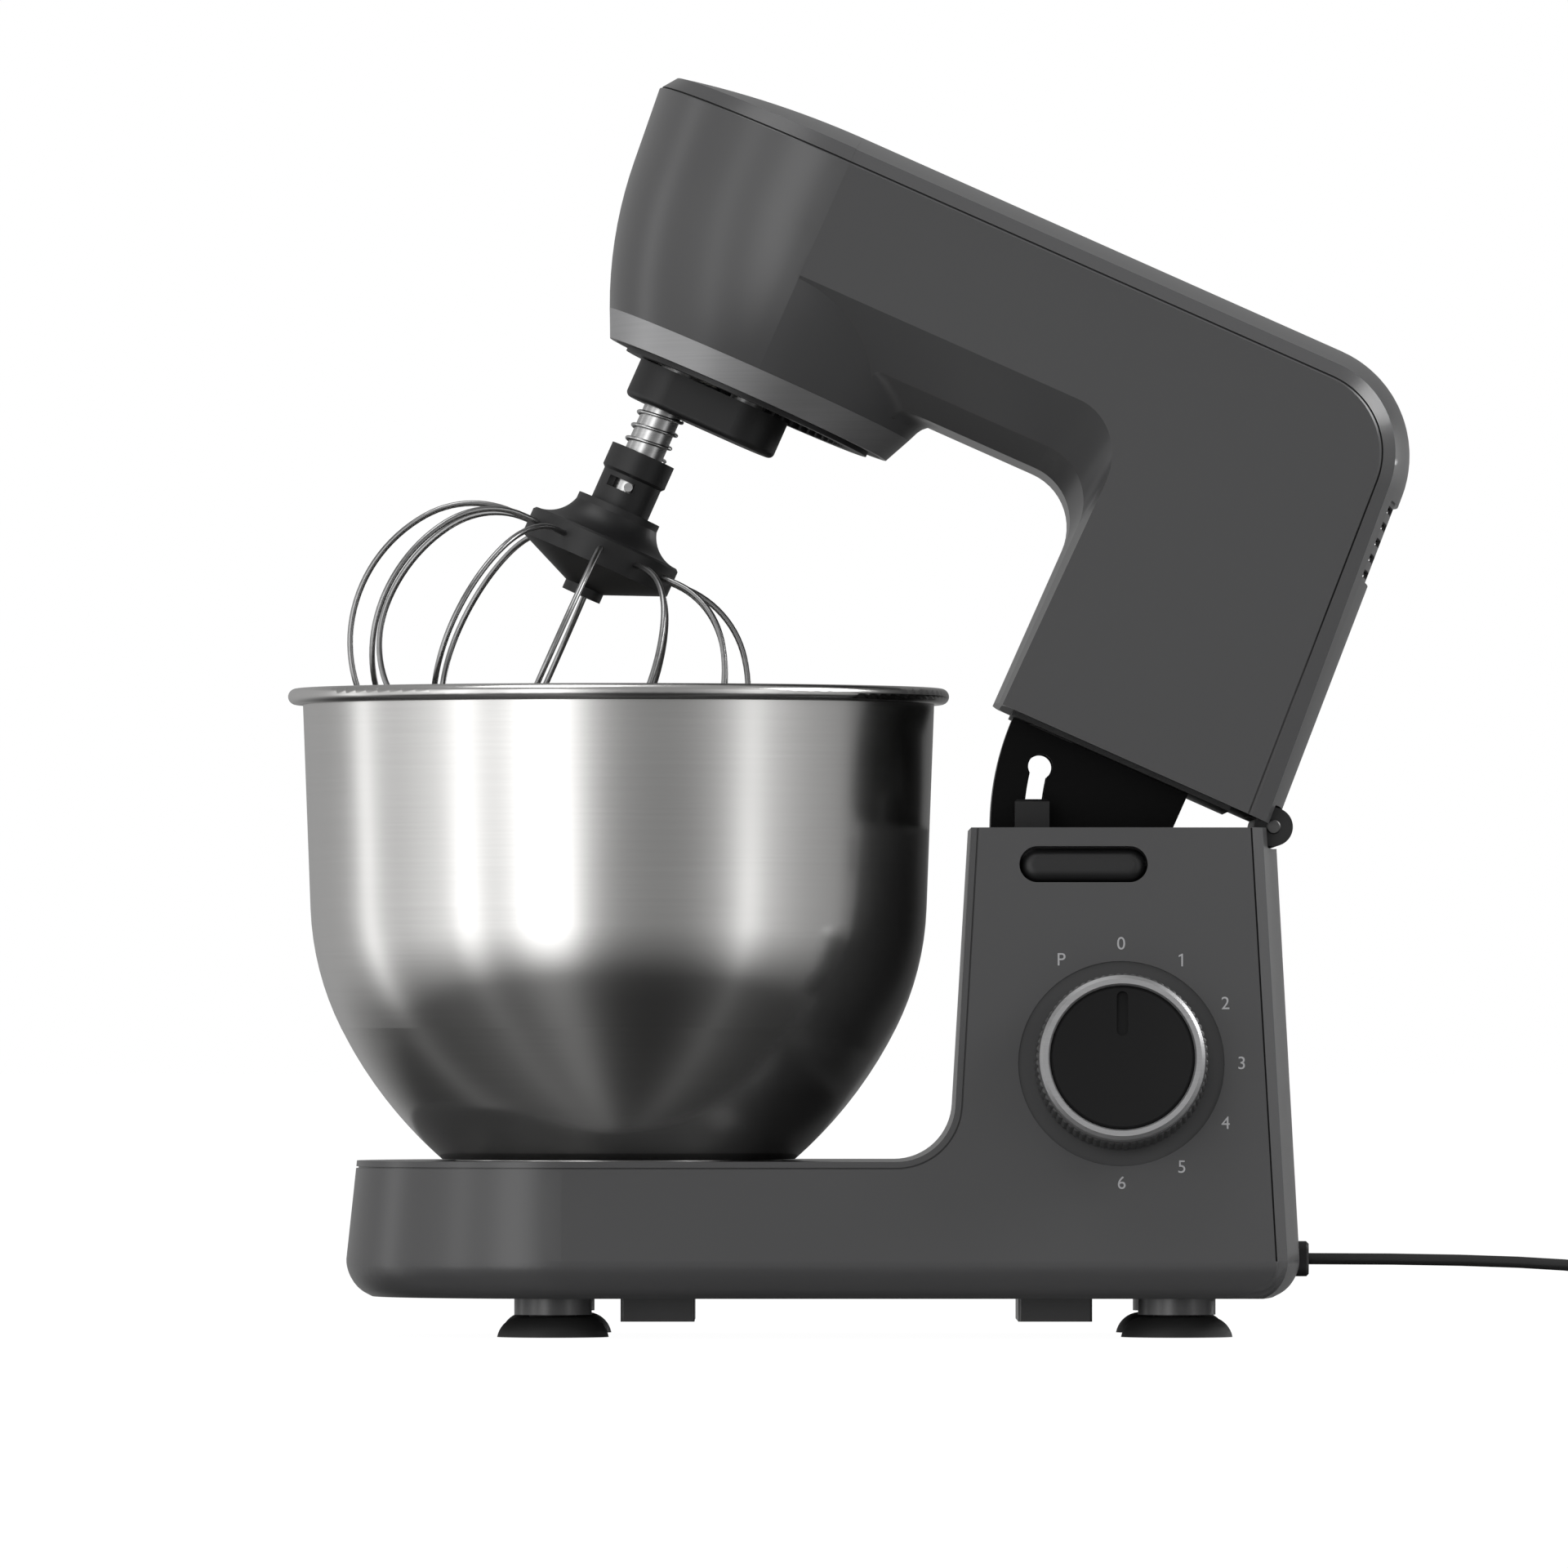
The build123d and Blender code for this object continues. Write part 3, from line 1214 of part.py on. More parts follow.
with BuildPart() as underside_plate:
    with BuildSketch(head_across(PLANET_X)):
        with BuildLine():
            Polyline(
                (RING_R, BAND_LOW_Z),
                (BAND_LOW_R - BAND_WALL, BAND_LOW_Z),
                (BAND_LOW_R - BAND_WALL + BAND_SLOPE * UNDER_PLATE, BAND_LOW_Z + UNDER_PLATE),
                (RING_R, BAND_LOW_Z + UNDER_PLATE),
                close=True,
            )
        make_face()
    revolve(axis=PLANET_AXIS)
finish(underside_plate.part, "underside_plate")


def gear_outline(plane, teeth, module, above, below, share):
    """Return a spur gear's outline with straight flanks, a tooth at angle 0, and the given heights."""
    pitch_r = teeth * module / 2
    pressure = radians(PRESSURE_ANGLE)

    def half_angle(radius):
        """Half the angle of a tooth at a radius."""
        lean = acos(min(1.0, pitch_r * cos(pressure) / radius))
        return share * pi / (2 * teeth) + tan(pressure) - pressure - tan(lean) + lean

    root_r, tip_r = pitch_r - below * module, pitch_r + above * module
    corners = [(root_r, -half_angle(root_r)), (tip_r, -half_angle(tip_r))]
    corners += [(tip_r, half_angle(tip_r)), (root_r, half_angle(root_r))]
    points = []
    for tooth in range(teeth):
        turn = 2 * pi * tooth / teeth
        points += [(radius * cos(turn + swing), radius * sin(turn + swing)) for radius, swing in corners]
    with BuildSketch(plane) as outline:
        with BuildLine():
            Polyline(*points, close=True)
        make_face()
    return outline.sketch


def spur_gear(x, low, height, teeth, module, bore):
    """Return a spur gear on the head's upright axis through x."""
    plane = Plane(origin=head_point(x, 0, low), x_dir=HEAD.x_dir, z_dir=HEAD.z_dir)
    with BuildPart() as gear:
        extrude(gear_outline(plane, teeth, module, TOOTH_TIP, TOOTH_ROOT, TOOTH_SHARE), amount=height)
        with BuildSketch(plane):
            Circle(bore)
        extrude(amount=height, mode=Mode.SUBTRACT)
    return gear.part


def rod(x, radius, low, high):
    """Return a round rod on the head's upright axis through x."""
    with BuildPart() as bar:
        with BuildSketch(head_level(low)):
            with Locations((x, 0)):
                Circle(radius)
        extrude(amount=high - low)
        chamfer(bar.edges().filter_by(GeomType.CIRCLE), ROD_CHAMFER)
    return bar.part


def ring(x, outer, bore, low, height):
    """Return a plain ring about the head's upright axis through x."""
    with BuildPart() as band:
        with BuildSketch(head_level(low)):
            with Locations((x, 0)):
                Circle(outer)
                Circle(bore, mode=Mode.SUBTRACT)
        extrude(amount=height)
    return band.part


RING_PLANE = Plane(origin=head_point(PLANET_X, 0, RING_LOW_Z), x_dir=HEAD.x_dir, z_dir=HEAD.z_dir)

with BuildPart() as ring_gear:
    with BuildSketch(RING_PLANE):
        Circle(RING_R)
    extrude(amount=BAND_TOP_Z - RING_LOW_Z)
    extrude(
        gear_outline(RING_PLANE, RING_TEETH, RING_MODULE, TOOTH_ROOT, TOOTH_TIP, 2 - TOOTH_SHARE),
        amount=BAND_TOP_Z - RING_LOW_Z,
        mode=Mode.SUBTRACT,
    )
finish(ring_gear.part, "ring_gear")

with BuildPart() as gear_case:
    with BuildSketch(head_level(BAND_TOP_Z)):
        with Locations((PLANET_X, 0)):
            Circle(BAND_TOP_R)
    extrude(amount=CASE_PLATE)
    add(head_cavity, mode=Mode.INTERSECT)
    with BuildSketch(head_level(CASE_TOP_Z)):
        with Locations((PLANET_X, 0)):
            Circle(BUSH_R + BOSS_WALL)
        with Locations((LAYSHAFT_X, 0)):
            Circle(LAYSHAFT_R + BOSS_WALL)
    extrude(amount=BUSH_HEIGHT - CASE_PLATE)
    with BuildSketch(head_level(BAND_TOP_Z)):
        with Locations((PLANET_X, 0)):
            Circle(BUSH_R)
        with Locations((LAYSHAFT_X, 0)):
            Circle(LAYSHAFT_R + RUN_FIT)
    extrude(amount=BUSH_HEIGHT, mode=Mode.SUBTRACT)
finish(gear_case.part, "gear_case")

finish(ring(PLANET_X, BUSH_R, MAIN_SHAFT_R + RUN_FIT, BAND_TOP_Z, BUSH_HEIGHT), "main_bush")

# Motor, upright in the neck
MOTOR_TOP_Z = MOTOR_LOW_Z + MOTOR_HEIGHT
MOTOR_PLATE_Z = MOTOR_LOW_Z - BRACKET_DROP

finish(ring(MOTOR_X, MOTOR_R, ARMATURE_R + AIR_GAP, MOTOR_LOW_Z, MOTOR_HEIGHT), "motor_stator")

with BuildPart() as motor_bracket:
    with BuildSketch(head_level(MOTOR_PLATE_Z)):
        with Locations((MOTOR_X, 0)):
            Circle(MOTOR_R + BRACKET_PLATE)
    extrude(amount=MOTOR_TOP_Z + BRACKET_PLATE - MOTOR_PLATE_Z)
    with BuildSketch(head_level(MOTOR_PLATE_Z + BRACKET_PLATE)):
        with Locations((MOTOR_X, 0)):
            Circle(MOTOR_R)
    extrude(amount=MOTOR_TOP_Z - MOTOR_PLATE_Z - BRACKET_PLATE, mode=Mode.SUBTRACT)
    with BuildSketch(head_level(MOTOR_TOP_Z)):
        with Locations((MOTOR_X, 0)):
            with PolarLocations((MOTOR_R + BEARING_R) / 2, BRACKET_WINDOWS):
                Circle((MOTOR_R - BEARING_R) / 2 - BRACKET_PLATE / 2)
    extrude(amount=BRACKET_PLATE, mode=Mode.SUBTRACT)
    with BuildSketch(head_level(FLOOR_TOP_Z)):
        with Locations((MOTOR_X - MOTOR_R, 0), (MOTOR_X + MOTOR_R, 0)):
            Rectangle(2 * BRACKET_PLATE, MOTOR_R)
    extrude(amount=MOTOR_PLATE_Z - FLOOR_TOP_Z)
    with BuildSketch(head_level(MOTOR_PLATE_Z)):
        with Locations((MOTOR_X, 0)):
            Circle(BEARING_R)
    extrude(amount=REACH, mode=Mode.SUBTRACT)
finish(motor_bracket.part, "motor_bracket")

with BuildPart() as motor_bearings:
    for low in (MOTOR_PLATE_Z, MOTOR_TOP_Z):
        add(ring(MOTOR_X, BEARING_R, MOTOR_SHAFT_R + RUN_FIT, low, BRACKET_PLATE))
finish(motor_bearings.part, "motor_bearings")

SHAFT_TOP_Z = PULLEY_LOW_Z + PULLEY_HEIGHT + LOOSE_FIT
ARMATURE_LENGTH = MOTOR_HEIGHT - 2 * AIR_GAP

finish(rod(MOTOR_X, MOTOR_SHAFT_R, MOTOR_PLATE_Z - LOOSE_FIT, SHAFT_TOP_Z), "motor_shaft")
finish(ring(MOTOR_X, ARMATURE_R, MOTOR_SHAFT_R, MOTOR_LOW_Z + AIR_GAP, ARMATURE_LENGTH), "motor_armature")

with BuildPart() as cooling_fan:
    with BuildSketch(head_level(FAN_LOW_Z)):
        with Locations((MOTOR_X, 0)):
            Circle(FAN_R)
    extrude(amount=FAN_PLATE)
    with BuildSketch(head_level(FAN_LOW_Z)):
        with Locations((MOTOR_X, 0)):
            Circle(MOTOR_SHAFT_R + BOSS_WALL)
            with PolarLocations((FAN_R + MOTOR_SHAFT_R) / 2, FAN_BLADES):
                Rectangle(FAN_R - MOTOR_SHAFT_R - BOSS_WALL, FAN_PLATE)
    extrude(amount=FAN_HEIGHT)
    with BuildSketch(head_level(FAN_LOW_Z)):
        with Locations((MOTOR_X, 0)):
            Circle(MOTOR_SHAFT_R)
    extrude(amount=FAN_HEIGHT, mode=Mode.SUBTRACT)
finish(cooling_fan.part, "cooling_fan")

finish(ring(MOTOR_X, MOTOR_PULLEY_R, MOTOR_SHAFT_R, PULLEY_LOW_Z, PULLEY_HEIGHT), "motor_pulley")


def belt_loop(grow):
    """Return the loop round both pulleys, grown from their rims."""
    with BuildSketch(head_level(PULLEY_LOW_Z + (PULLEY_HEIGHT - BELT_WIDTH) / 2)) as loop:
        with Locations((MOTOR_X, 0)):
            Circle(MOTOR_PULLEY_R + grow)
        with Locations((LAYSHAFT_X, 0)):
            Circle(LAY_PULLEY_R + grow)
        make_hull()
    return loop.sketch


with BuildPart() as drive_belt:
    extrude(belt_loop(SLIDE_FIT + BELT_THICK), amount=BELT_WIDTH)
    extrude(belt_loop(SLIDE_FIT), amount=BELT_WIDTH, mode=Mode.SUBTRACT)
finish(drive_belt.part, "drive_belt")

# Layshaft between the belt and the main gear
PINION_LOW_Z = DRIVE_LOW_Z - PINION_OVERHANG
PINION_HEIGHT = DRIVE_HEIGHT + 2 * PINION_OVERHANG

finish(rod(LAYSHAFT_X, LAYSHAFT_R, BAND_TOP_Z + SLIDE_FIT, SHAFT_TOP_Z), "layshaft")
finish(
    spur_gear(LAYSHAFT_X, PINION_LOW_Z, PINION_HEIGHT, PINION_TEETH, DRIVE_MODULE, LAYSHAFT_R),
    "layshaft_pinion",
)
finish(ring(LAYSHAFT_X, LAY_PULLEY_R, LAYSHAFT_R, PULLEY_LOW_Z, PULLEY_HEIGHT), "layshaft_pulley")

# Planet carrier under the drum
MAIN_LOW_Z = CARRIER_LOW_Z + CARRIER_FLOOR
MAIN_TOP_Z = DRIVE_LOW_Z + DRIVE_HEIGHT + MAIN_PROUD

with BuildPart() as planet_carrier:
    with BuildSketch(head_level(CARRIER_LOW_Z)):
        with Locations((PLANET_X, 0)):
            Circle(CARRIER_TAIL)
        with Locations((BEATER_X, 0)):
            Circle(CARRIER_REACH - BEATER_OFFSET)
        make_hull()
    extrude(amount=CARRIER_TOP_Z - CARRIER_LOW_Z)
    fillet(planet_carrier.faces().sort_by(Axis((0, 0, 0), HEAD.z_dir))[0].edges(), CARRIER_ROUND)
    with BuildSketch(head_level(CARRIER_LOW_Z)):
        with Locations((BEATER_X, 0)):
            Circle(SHAFT_R + RUN_FIT)
    extrude(amount=CARRIER_TOP_Z - CARRIER_LOW_Z, mode=Mode.SUBTRACT)
    with BuildSketch(head_level(MAIN_LOW_Z)):
        with Locations((PLANET_X, 0)):
            Circle(MAIN_SHAFT_R)
    extrude(amount=CARRIER_TOP_Z - MAIN_LOW_Z, mode=Mode.SUBTRACT)
finish(planet_carrier.part, "planet_carrier")

finish(rod(PLANET_X, MAIN_SHAFT_R, MAIN_LOW_Z, MAIN_TOP_Z), "main_shaft")
finish(spur_gear(PLANET_X, DRIVE_LOW_Z, DRIVE_HEIGHT, DRIVE_TEETH, DRIVE_MODULE, MAIN_SHAFT_R), "drive_gear")

# Beater shaft, its pinion, cross pin and spring
PLANET_LOW_Z = CARRIER_TOP_Z + PLANET_CLEAR
PLANET_HEIGHT = BAND_TOP_Z - PLANET_CLEAR - PLANET_LOW_Z

with BuildPart() as cross_pin:
    with BuildSketch(head_side()):
        with Locations((BEATER_X, CROSS_PIN_Z)):
            Circle(CROSS_PIN_R)
    extrude(amount=CROSS_PIN_HALF, both=True)
finish(cross_pin.part, "cross_pin")

with BuildPart() as beater_shaft:
    add(rod(BEATER_X, SHAFT_R, SHAFT_LOW_Z, PLANET_LOW_Z + PLANET_HEIGHT))
    add(cross_pin.part, mode=Mode.SUBTRACT)
finish(beater_shaft.part, "beater_shaft")

finish(spur_gear(BEATER_X, PLANET_LOW_Z, PLANET_HEIGHT, PLANET_TEETH, RING_MODULE, SHAFT_R), "planet_pinion")

SPRING_R = SHAFT_R + SPRING_CLEAR + SPRING_WIRE / 2
SPRING_KNOTS = 4 * SPRING_TURNS
SPRING_RISE = SPRING_HIGH_Z - SPRING_LOW_Z


def spring_knot(step):
    """Return a point of the spring's middle line and its direction, a quarter turn to a step."""
    turn = step * pi / 2
    climb = SPRING_RISE / (SPRING_TURNS * 2 * pi)
    local = Vector(BEATER_X + SPRING_R * cos(turn), SPRING_R * sin(turn), SPRING_LOW_Z + climb * turn)
    ahead = (HEAD.x_dir * -sin(turn) + Vector(0, 1, 0) * cos(turn)) * SPRING_R + HEAD.z_dir * climb
    return head_point(local.X, local.Y, local.Z), ahead.normalized()


with BuildPart() as shaft_spring:
    with BuildLine() as spring_path:
        for step in range(SPRING_KNOTS):
            biarc(*spring_knot(step), *spring_knot(step + 1))
    with BuildSketch(Plane(origin=spring_path.line @ 0, z_dir=spring_path.line % 0)):
        Circle(SPRING_WIRE / 2)
    sweep(path=spring_path.line)
finish(shaft_spring.part, "shaft_spring")
print("spring gap", round(SPRING_RISE / SPRING_TURNS - SPRING_WIRE, 2))

# Whisk: socket on the shaft, hub and wire loops
BEATER_SECTION = Plane(origin=head_point(BEATER_X, 0, 0), x_dir=HEAD.x_dir, z_dir=(0, -1, 0))
BEATER_AXIS = head_axis(BEATER_X)

with BuildPart() as whisk_socket:
    with BuildSketch(BEATER_SECTION):
        with BuildLine():
            Polyline(
                (0, SOCKET_LOW_Z),
                (SOCKET_R - SOCKET_STEP, SOCKET_LOW_Z),
                (SOCKET_R - SOCKET_STEP, SOCKET_STEP_Z),
                (SOCKET_R, SOCKET_STEP_Z + SOCKET_STEP),
                (SOCKET_R, SOCKET_TOP_Z),
                (SHAFT_R + RUN_FIT, SOCKET_TOP_Z),
                (SHAFT_R + RUN_FIT, SHAFT_LOW_Z - LOOSE_FIT),
                (0, SHAFT_LOW_Z - LOOSE_FIT),
                close=True,
            )
        make_face()
    revolve(axis=BEATER_AXIS)
    for step in range(TWIST_STEPS + 1):
        turn = radians(-TWIST_ANGLE * step / TWIST_STEPS)
        across = HEAD.x_dir * -sin(turn) + Vector(0, 1, 0) * cos(turn)
        with BuildSketch(Plane(origin=head_point(BEATER_X, 0, CROSS_PIN_Z), x_dir=HEAD.z_dir, z_dir=across)):
            Rectangle(2 * (CROSS_PIN_R + SLIDE_FIT), 2 * (CROSS_PIN_R + SLIDE_FIT))
        extrude(amount=2 * SOCKET_R, both=True, mode=Mode.SUBTRACT)
finish(whisk_socket.part, "whisk_socket")

with BuildPart() as whisk_hub:
    with BuildSketch(BEATER_SECTION):
        with BuildLine():
            Polyline((0, SOCKET_LOW_Z), (COLLAR_R, SOCKET_LOW_Z), (COLLAR_R, SOCKET_LOW_Z - COLLAR_HEIGHT))
            TangentArc(
                (COLLAR_R, SOCKET_LOW_Z - COLLAR_HEIGHT), (DISC_R - DISC_EDGE, DISC_TOP_Z), tangent=(0.3, -1)
            )
            Polyline(
                (DISC_R - DISC_EDGE, DISC_TOP_Z),
                (DISC_R, DISC_TOP_Z - DISC_EDGE),
                (DISC_R, DISC_LOW_Z),
                (WHISK_BOSS_R, CONE_LOW_Z),
                (WHISK_BOSS_R, WHISK_BOSS_Z),
                (0, WHISK_BOSS_Z),
                (0, SOCKET_LOW_Z),
            )
        make_face()
    revolve(axis=BEATER_AXIS)
finish(whisk_hub.part, "whisk_hub")

with BuildPart() as whisk_wires:
    for index in range(LOOP_COUNT):
        turn = pi * index / LOOP_COUNT
        out = HEAD.x_dir * cos(turn) + Vector(0, 1, 0) * sin(turn)
        root = head_point(BEATER_X, 0, WIRE_ROOT_Z)
        waist = head_point(BEATER_X, 0, WHISK_WAIST_Z)
        knots = [
            (root - out * WIRE_LEAVE_R, -out),
            (waist - out * WHISK_R, -HEAD.z_dir),
            (head_point(BEATER_X, 0, WHISK_LOW_Z + LOOP_STEP * index), out),
            (waist + out * WHISK_R, HEAD.z_dir),
            (root + out * WIRE_LEAVE_R, -out),
        ]
        with BuildLine() as loop_path:
            Line(root - out * WIRE_ROOT_R, knots[0][0])
            for first, second in zip(knots, knots[1:]):
                biarc(*first, *second)
            Line(knots[-1][0], root + out * WIRE_ROOT_R)
        with BuildSketch(Plane(origin=loop_path.line @ 0, z_dir=loop_path.line % 0)):
            Circle(WIRE_R)
        sweep(path=loop_path.line)
finish(whisk_wires.part, "whisk_wires")
print("whisk wire gap", round(LOOP_STEP - 2 * WIRE_R, 2))

# Cord: gland, lead, coil, tie and plug
with BuildPart() as cord_gland:
    add(gland_slot.part)
    chamfer(cord_gland.faces().sort_by(Axis.X)[-1].edges(), GLAND_CHAMFER)
finish(cord_gland.part, "cord_gland")

COIL_LOW_Z = CORD_R + TIE_WALL + TIE_CLEAR
COIL_TOP_Z = COIL_LOW_Z + COIL_CLIMB
COIL_START_X = COIL_X - 2 * CORD_R
LEAD_POINTS = [
    (BACK_X_LOW + GLAND_LENGTH, 0, CORD_Z),
    (248.0, 0, CORD_Z),
    (284.0, 1.0, 16.0),
    (322.0, 0, COIL_LOW_Z),
    (COIL_START_X, 0, COIL_LOW_Z),
]


def bend_radii(points):
    """Return the largest radius for each corner of a route."""
    radii = []
    for before, corner, after in zip(points, points[1:], points[2:]):
        first, second = Vector(corner) - Vector(before), Vector(after) - Vector(corner)
        half = radians(first.get_angle(second)) / 2
        radii.append(BEND_SHARE * min(first.length, second.length) / tan(half))
    return radii


with BuildPart() as cord_lead:
    with BuildLine() as lead_path:
        FilletPolyline(*LEAD_POINTS, radius=bend_radii(LEAD_POINTS))
    with BuildSketch(Plane(origin=lead_path.line @ 0, z_dir=lead_path.line % 0)):
        Circle(CORD_R)
    sweep(path=lead_path.line)
finish(cord_lead.part, "cord_lead")
print("cord radii", [round(radius, 1) for radius in bend_radii(LEAD_POINTS)])
print("cord volume", round(cord_lead.part.volume), round(pi * CORD_R**2 * lead_path.wire().length))

LAYER_STEPS = 4 * COIL_TURNS
COIL_KNOTS = 2 * LAYER_STEPS + 2


def coil_knot(step):
    """Return a point of the coil's middle line, a quarter turn to a step."""
    inward, outward = min(step, LAYER_STEPS), max(step - LAYER_STEPS - 2, 0)
    rise = min(max(step - LAYER_STEPS, 0), 2) / 2
    radius = COIL_R - COIL_PITCH * (inward - outward) / 4
    turn = (step - 1) * pi / 2
    return Vector(
        COIL_X + radius * cos(turn), COIL_R + radius * sin(turn), COIL_LOW_Z + COIL_CLIMB * rise
    )


def coil_heading(step):
    """Return the coil's direction at a knot."""
    if step == 0:
        return Vector(1, 0, 0)
    if step == COIL_KNOTS:
        return Vector(-1, 0, 0)
    turn = (step - 1) * pi / 2
    around = Vector(-sin(turn), cos(turn), 0)
    chord = coil_knot(step + 0.1) - coil_knot(step - 0.1)
    out = Vector(cos(turn), sin(turn), 0)
    return (around * chord.dot(around) + out * chord.dot(out) + Vector(0, 0, chord.Z)).normalized()


TAIL_X = COIL_X - TAIL_LENGTH

with BuildPart() as cord_coil:
    with BuildLine() as coil_path:
        Line((COIL_START_X, 0, COIL_LOW_Z), coil_knot(0))
        for step in range(COIL_KNOTS):
            biarc(coil_knot(step), coil_heading(step), coil_knot(step + 1), coil_heading(step + 1))
        Line(coil_knot(COIL_KNOTS), (TAIL_X, 2 * COIL_R, COIL_TOP_Z))
    with BuildSketch(Plane(origin=coil_path.line @ 0, z_dir=coil_path.line % 0)):
        Circle(CORD_R)
    sweep(path=coil_path.line)
finish(cord_coil.part, "cord_coil")

coil_wire = coil_path.wire()
coil_length = coil_wire.length
samples = [coil_wire @ (index / COIL_SAMPLES) for index in range(COIL_SAMPLES + 1)]
apart = int(COIL_SAMPLES * 2 * COIL_R / coil_length)
nearest = min(
    (samples[first] - samples[second]).length
    for first in range(len(samples))
    for second in range(first + apart, len(samples))
)
print("coil gap", round(nearest - 2 * CORD_R, 2), "cord length", round(lead_path.wire().length + coil_length))

TIE_MIDDLE_R = COIL_R - COIL_PITCH * (COIL_TURNS / 2 + 0.25)
TIE_HALF = COIL_PITCH * (COIL_TURNS - 1) / 2 + CORD_R + TIE_SIDE
TIE_MIDDLE_Z = (COIL_LOW_Z + COIL_TOP_Z) / 2
TIE_HEIGHT = COIL_CLIMB + 2 * CORD_R + 2 * TIE_CLEAR

with BuildPart() as cord_tie:
    with BuildSketch(Plane.XZ.offset(-COIL_R)):
        with Locations((COIL_X - TIE_MIDDLE_R, TIE_MIDDLE_Z)):
            Rectangle(2 * (TIE_HALF + TIE_WALL), TIE_HEIGHT + 2 * TIE_WALL)
            Rectangle(2 * TIE_HALF, TIE_HEIGHT, mode=Mode.SUBTRACT)
    extrude(amount=TIE_WIDTH / 2, both=True)
finish(cord_tie.part, "cord_tie")

with BuildPart() as plug_body:
    with BuildSketch(Plane.XY):
        with BuildLine():
            Polyline(
                (TAIL_X, 2 * COIL_R - PLUG_NOSE),
                (TAIL_X, 2 * COIL_R + PLUG_NOSE),
                (TAIL_X - PLUG_LENGTH / 2, 2 * COIL_R + PLUG_WIDTH / 2),
                (TAIL_X - PLUG_LENGTH, 2 * COIL_R + PLUG_WIDTH / 2),
                (TAIL_X - PLUG_LENGTH, 2 * COIL_R - PLUG_WIDTH / 2),
                (TAIL_X - PLUG_LENGTH / 2, 2 * COIL_R - PLUG_WIDTH / 2),
                close=True,
            )
        make_face()
    extrude(amount=2 * COIL_TOP_Z)
    fillet(plug_body.edges().filter_by(Axis.Z), PLUG_ROUND)
    fillet(plug_body.faces().filter_by(Axis.Z).edges(), PLUG_ROUND / 2)
finish(plug_body.part, "plug_body")

with BuildPart() as plug_pins:
    with BuildSketch(Plane.YZ.offset(TAIL_X - PLUG_LENGTH)):
        for side in (-1, 1):
            with Locations((2 * COIL_R + side * PLUG_PIN_SPACING / 2, COIL_TOP_Z)):
                Circle(PLUG_PIN_R)
    extrude(amount=-PLUG_PIN_LENGTH)
    fillet(plug_pins.faces().group_by(Axis.X)[0].edges(), PLUG_PIN_R / 2)
finish(plug_pins.part, "plug_pins")
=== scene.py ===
"""Dresses the stand mixer: finishes, dial markings, power cord, studio and camera."""

import json
import math

import bpy
from bpy.props import FloatProperty, FloatVectorProperty, IntProperty, PointerProperty
from bpy.types import Operator, Panel, PropertyGroup
from mathutils import Matrix, Vector


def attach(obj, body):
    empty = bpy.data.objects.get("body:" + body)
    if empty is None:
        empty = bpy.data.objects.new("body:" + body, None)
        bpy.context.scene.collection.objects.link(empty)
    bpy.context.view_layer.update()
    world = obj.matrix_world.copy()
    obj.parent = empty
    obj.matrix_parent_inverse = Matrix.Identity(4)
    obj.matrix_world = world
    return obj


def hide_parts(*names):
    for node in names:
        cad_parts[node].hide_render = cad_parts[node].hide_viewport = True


bl_info = {
    "name": "Stand Mixer Finishes",
    "version": (1, 0, 0),
    "blender": (4, 5, 0),
    "location": "View3D > Sidebar > Mixer",
    "description": "Finishes, dial markings, cord and studio for a tilt-head stand mixer",
    "category": "3D View",
}

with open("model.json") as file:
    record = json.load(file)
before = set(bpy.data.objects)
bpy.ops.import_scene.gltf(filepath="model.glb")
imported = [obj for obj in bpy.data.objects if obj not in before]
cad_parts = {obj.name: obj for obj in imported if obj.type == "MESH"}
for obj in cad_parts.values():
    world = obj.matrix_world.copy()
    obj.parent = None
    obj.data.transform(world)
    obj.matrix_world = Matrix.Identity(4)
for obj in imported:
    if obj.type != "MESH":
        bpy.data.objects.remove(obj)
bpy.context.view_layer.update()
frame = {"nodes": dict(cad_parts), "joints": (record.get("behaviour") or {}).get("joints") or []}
NODES = frame["nodes"]

BODY_SHELLS = ("base_shell", "base_deck", "bottom_tray", "rear_cover", "head_housing", "head_cover")
BLACK_MOULDINGS = (
    "bowl_seat",
    "head_floor",
    "latch_guide",
    "interlock_post",
    "interlock_switch",
    "underside_plate",
    "planet_carrier",
    "whisk_hub",
    "whisk_socket",
    "release_button",
    "motor_bracket",
    "cooling_fan",
    "speed_switch",
    "hinge_bracket",
    "hinge_knuckle",
)
BRIGHT_STEEL = ("bowl", "bowl_foot")
PLAIN_STEEL = (
    "tray_screws",
    "knob_spindle",
    "lock_pin",
    "motor_stator",
    "motor_shaft",
    "motor_armature",
    "layshaft",
    "main_shaft",
    "beater_shaft",
    "cross_pin",
    "shaft_spring",
    "plug_pins",
)
NYLON_GEARS = (
    "drive_gear",
    "layshaft_pinion",
    "planet_pinion",
    "layshaft_pulley",
    "motor_pulley",
)

# Level of the studio's light by bearing from the camera, to the right
SKY_RING = (
    (-180, 0.35),
    (-150, 0.45),
    (-120, 0.5),
    (-113, 0.8),
    (-107, 2.2),
    (-101, 0.9),
    (-90, 0.75),
    (-77, 1.0),
    (-66, 1.1),
    (-58, 2.6),
    (-50, 1.05),
    (-40, 1.3),
    (-33, 2.4),
    (-26, 3.0),
    (-19, 2.4),
    (-12, 0.8),
    (-3, 0.42),
    (5, 0.34),
    (15, 0.3),
    (27, 0.33),
    (38, 0.55),
    (46, 1.0),
    (50, 2.0),
    (54, 1.0),
    (62, 0.7),
    (75, 0.48),
    (91, 0.4),
    (100, 0.18),
    (110, 0.12),
    (140, 0.08),
    (170, 0.2),
    (180, 0.35),
)
SKY_PEAK = 3.0
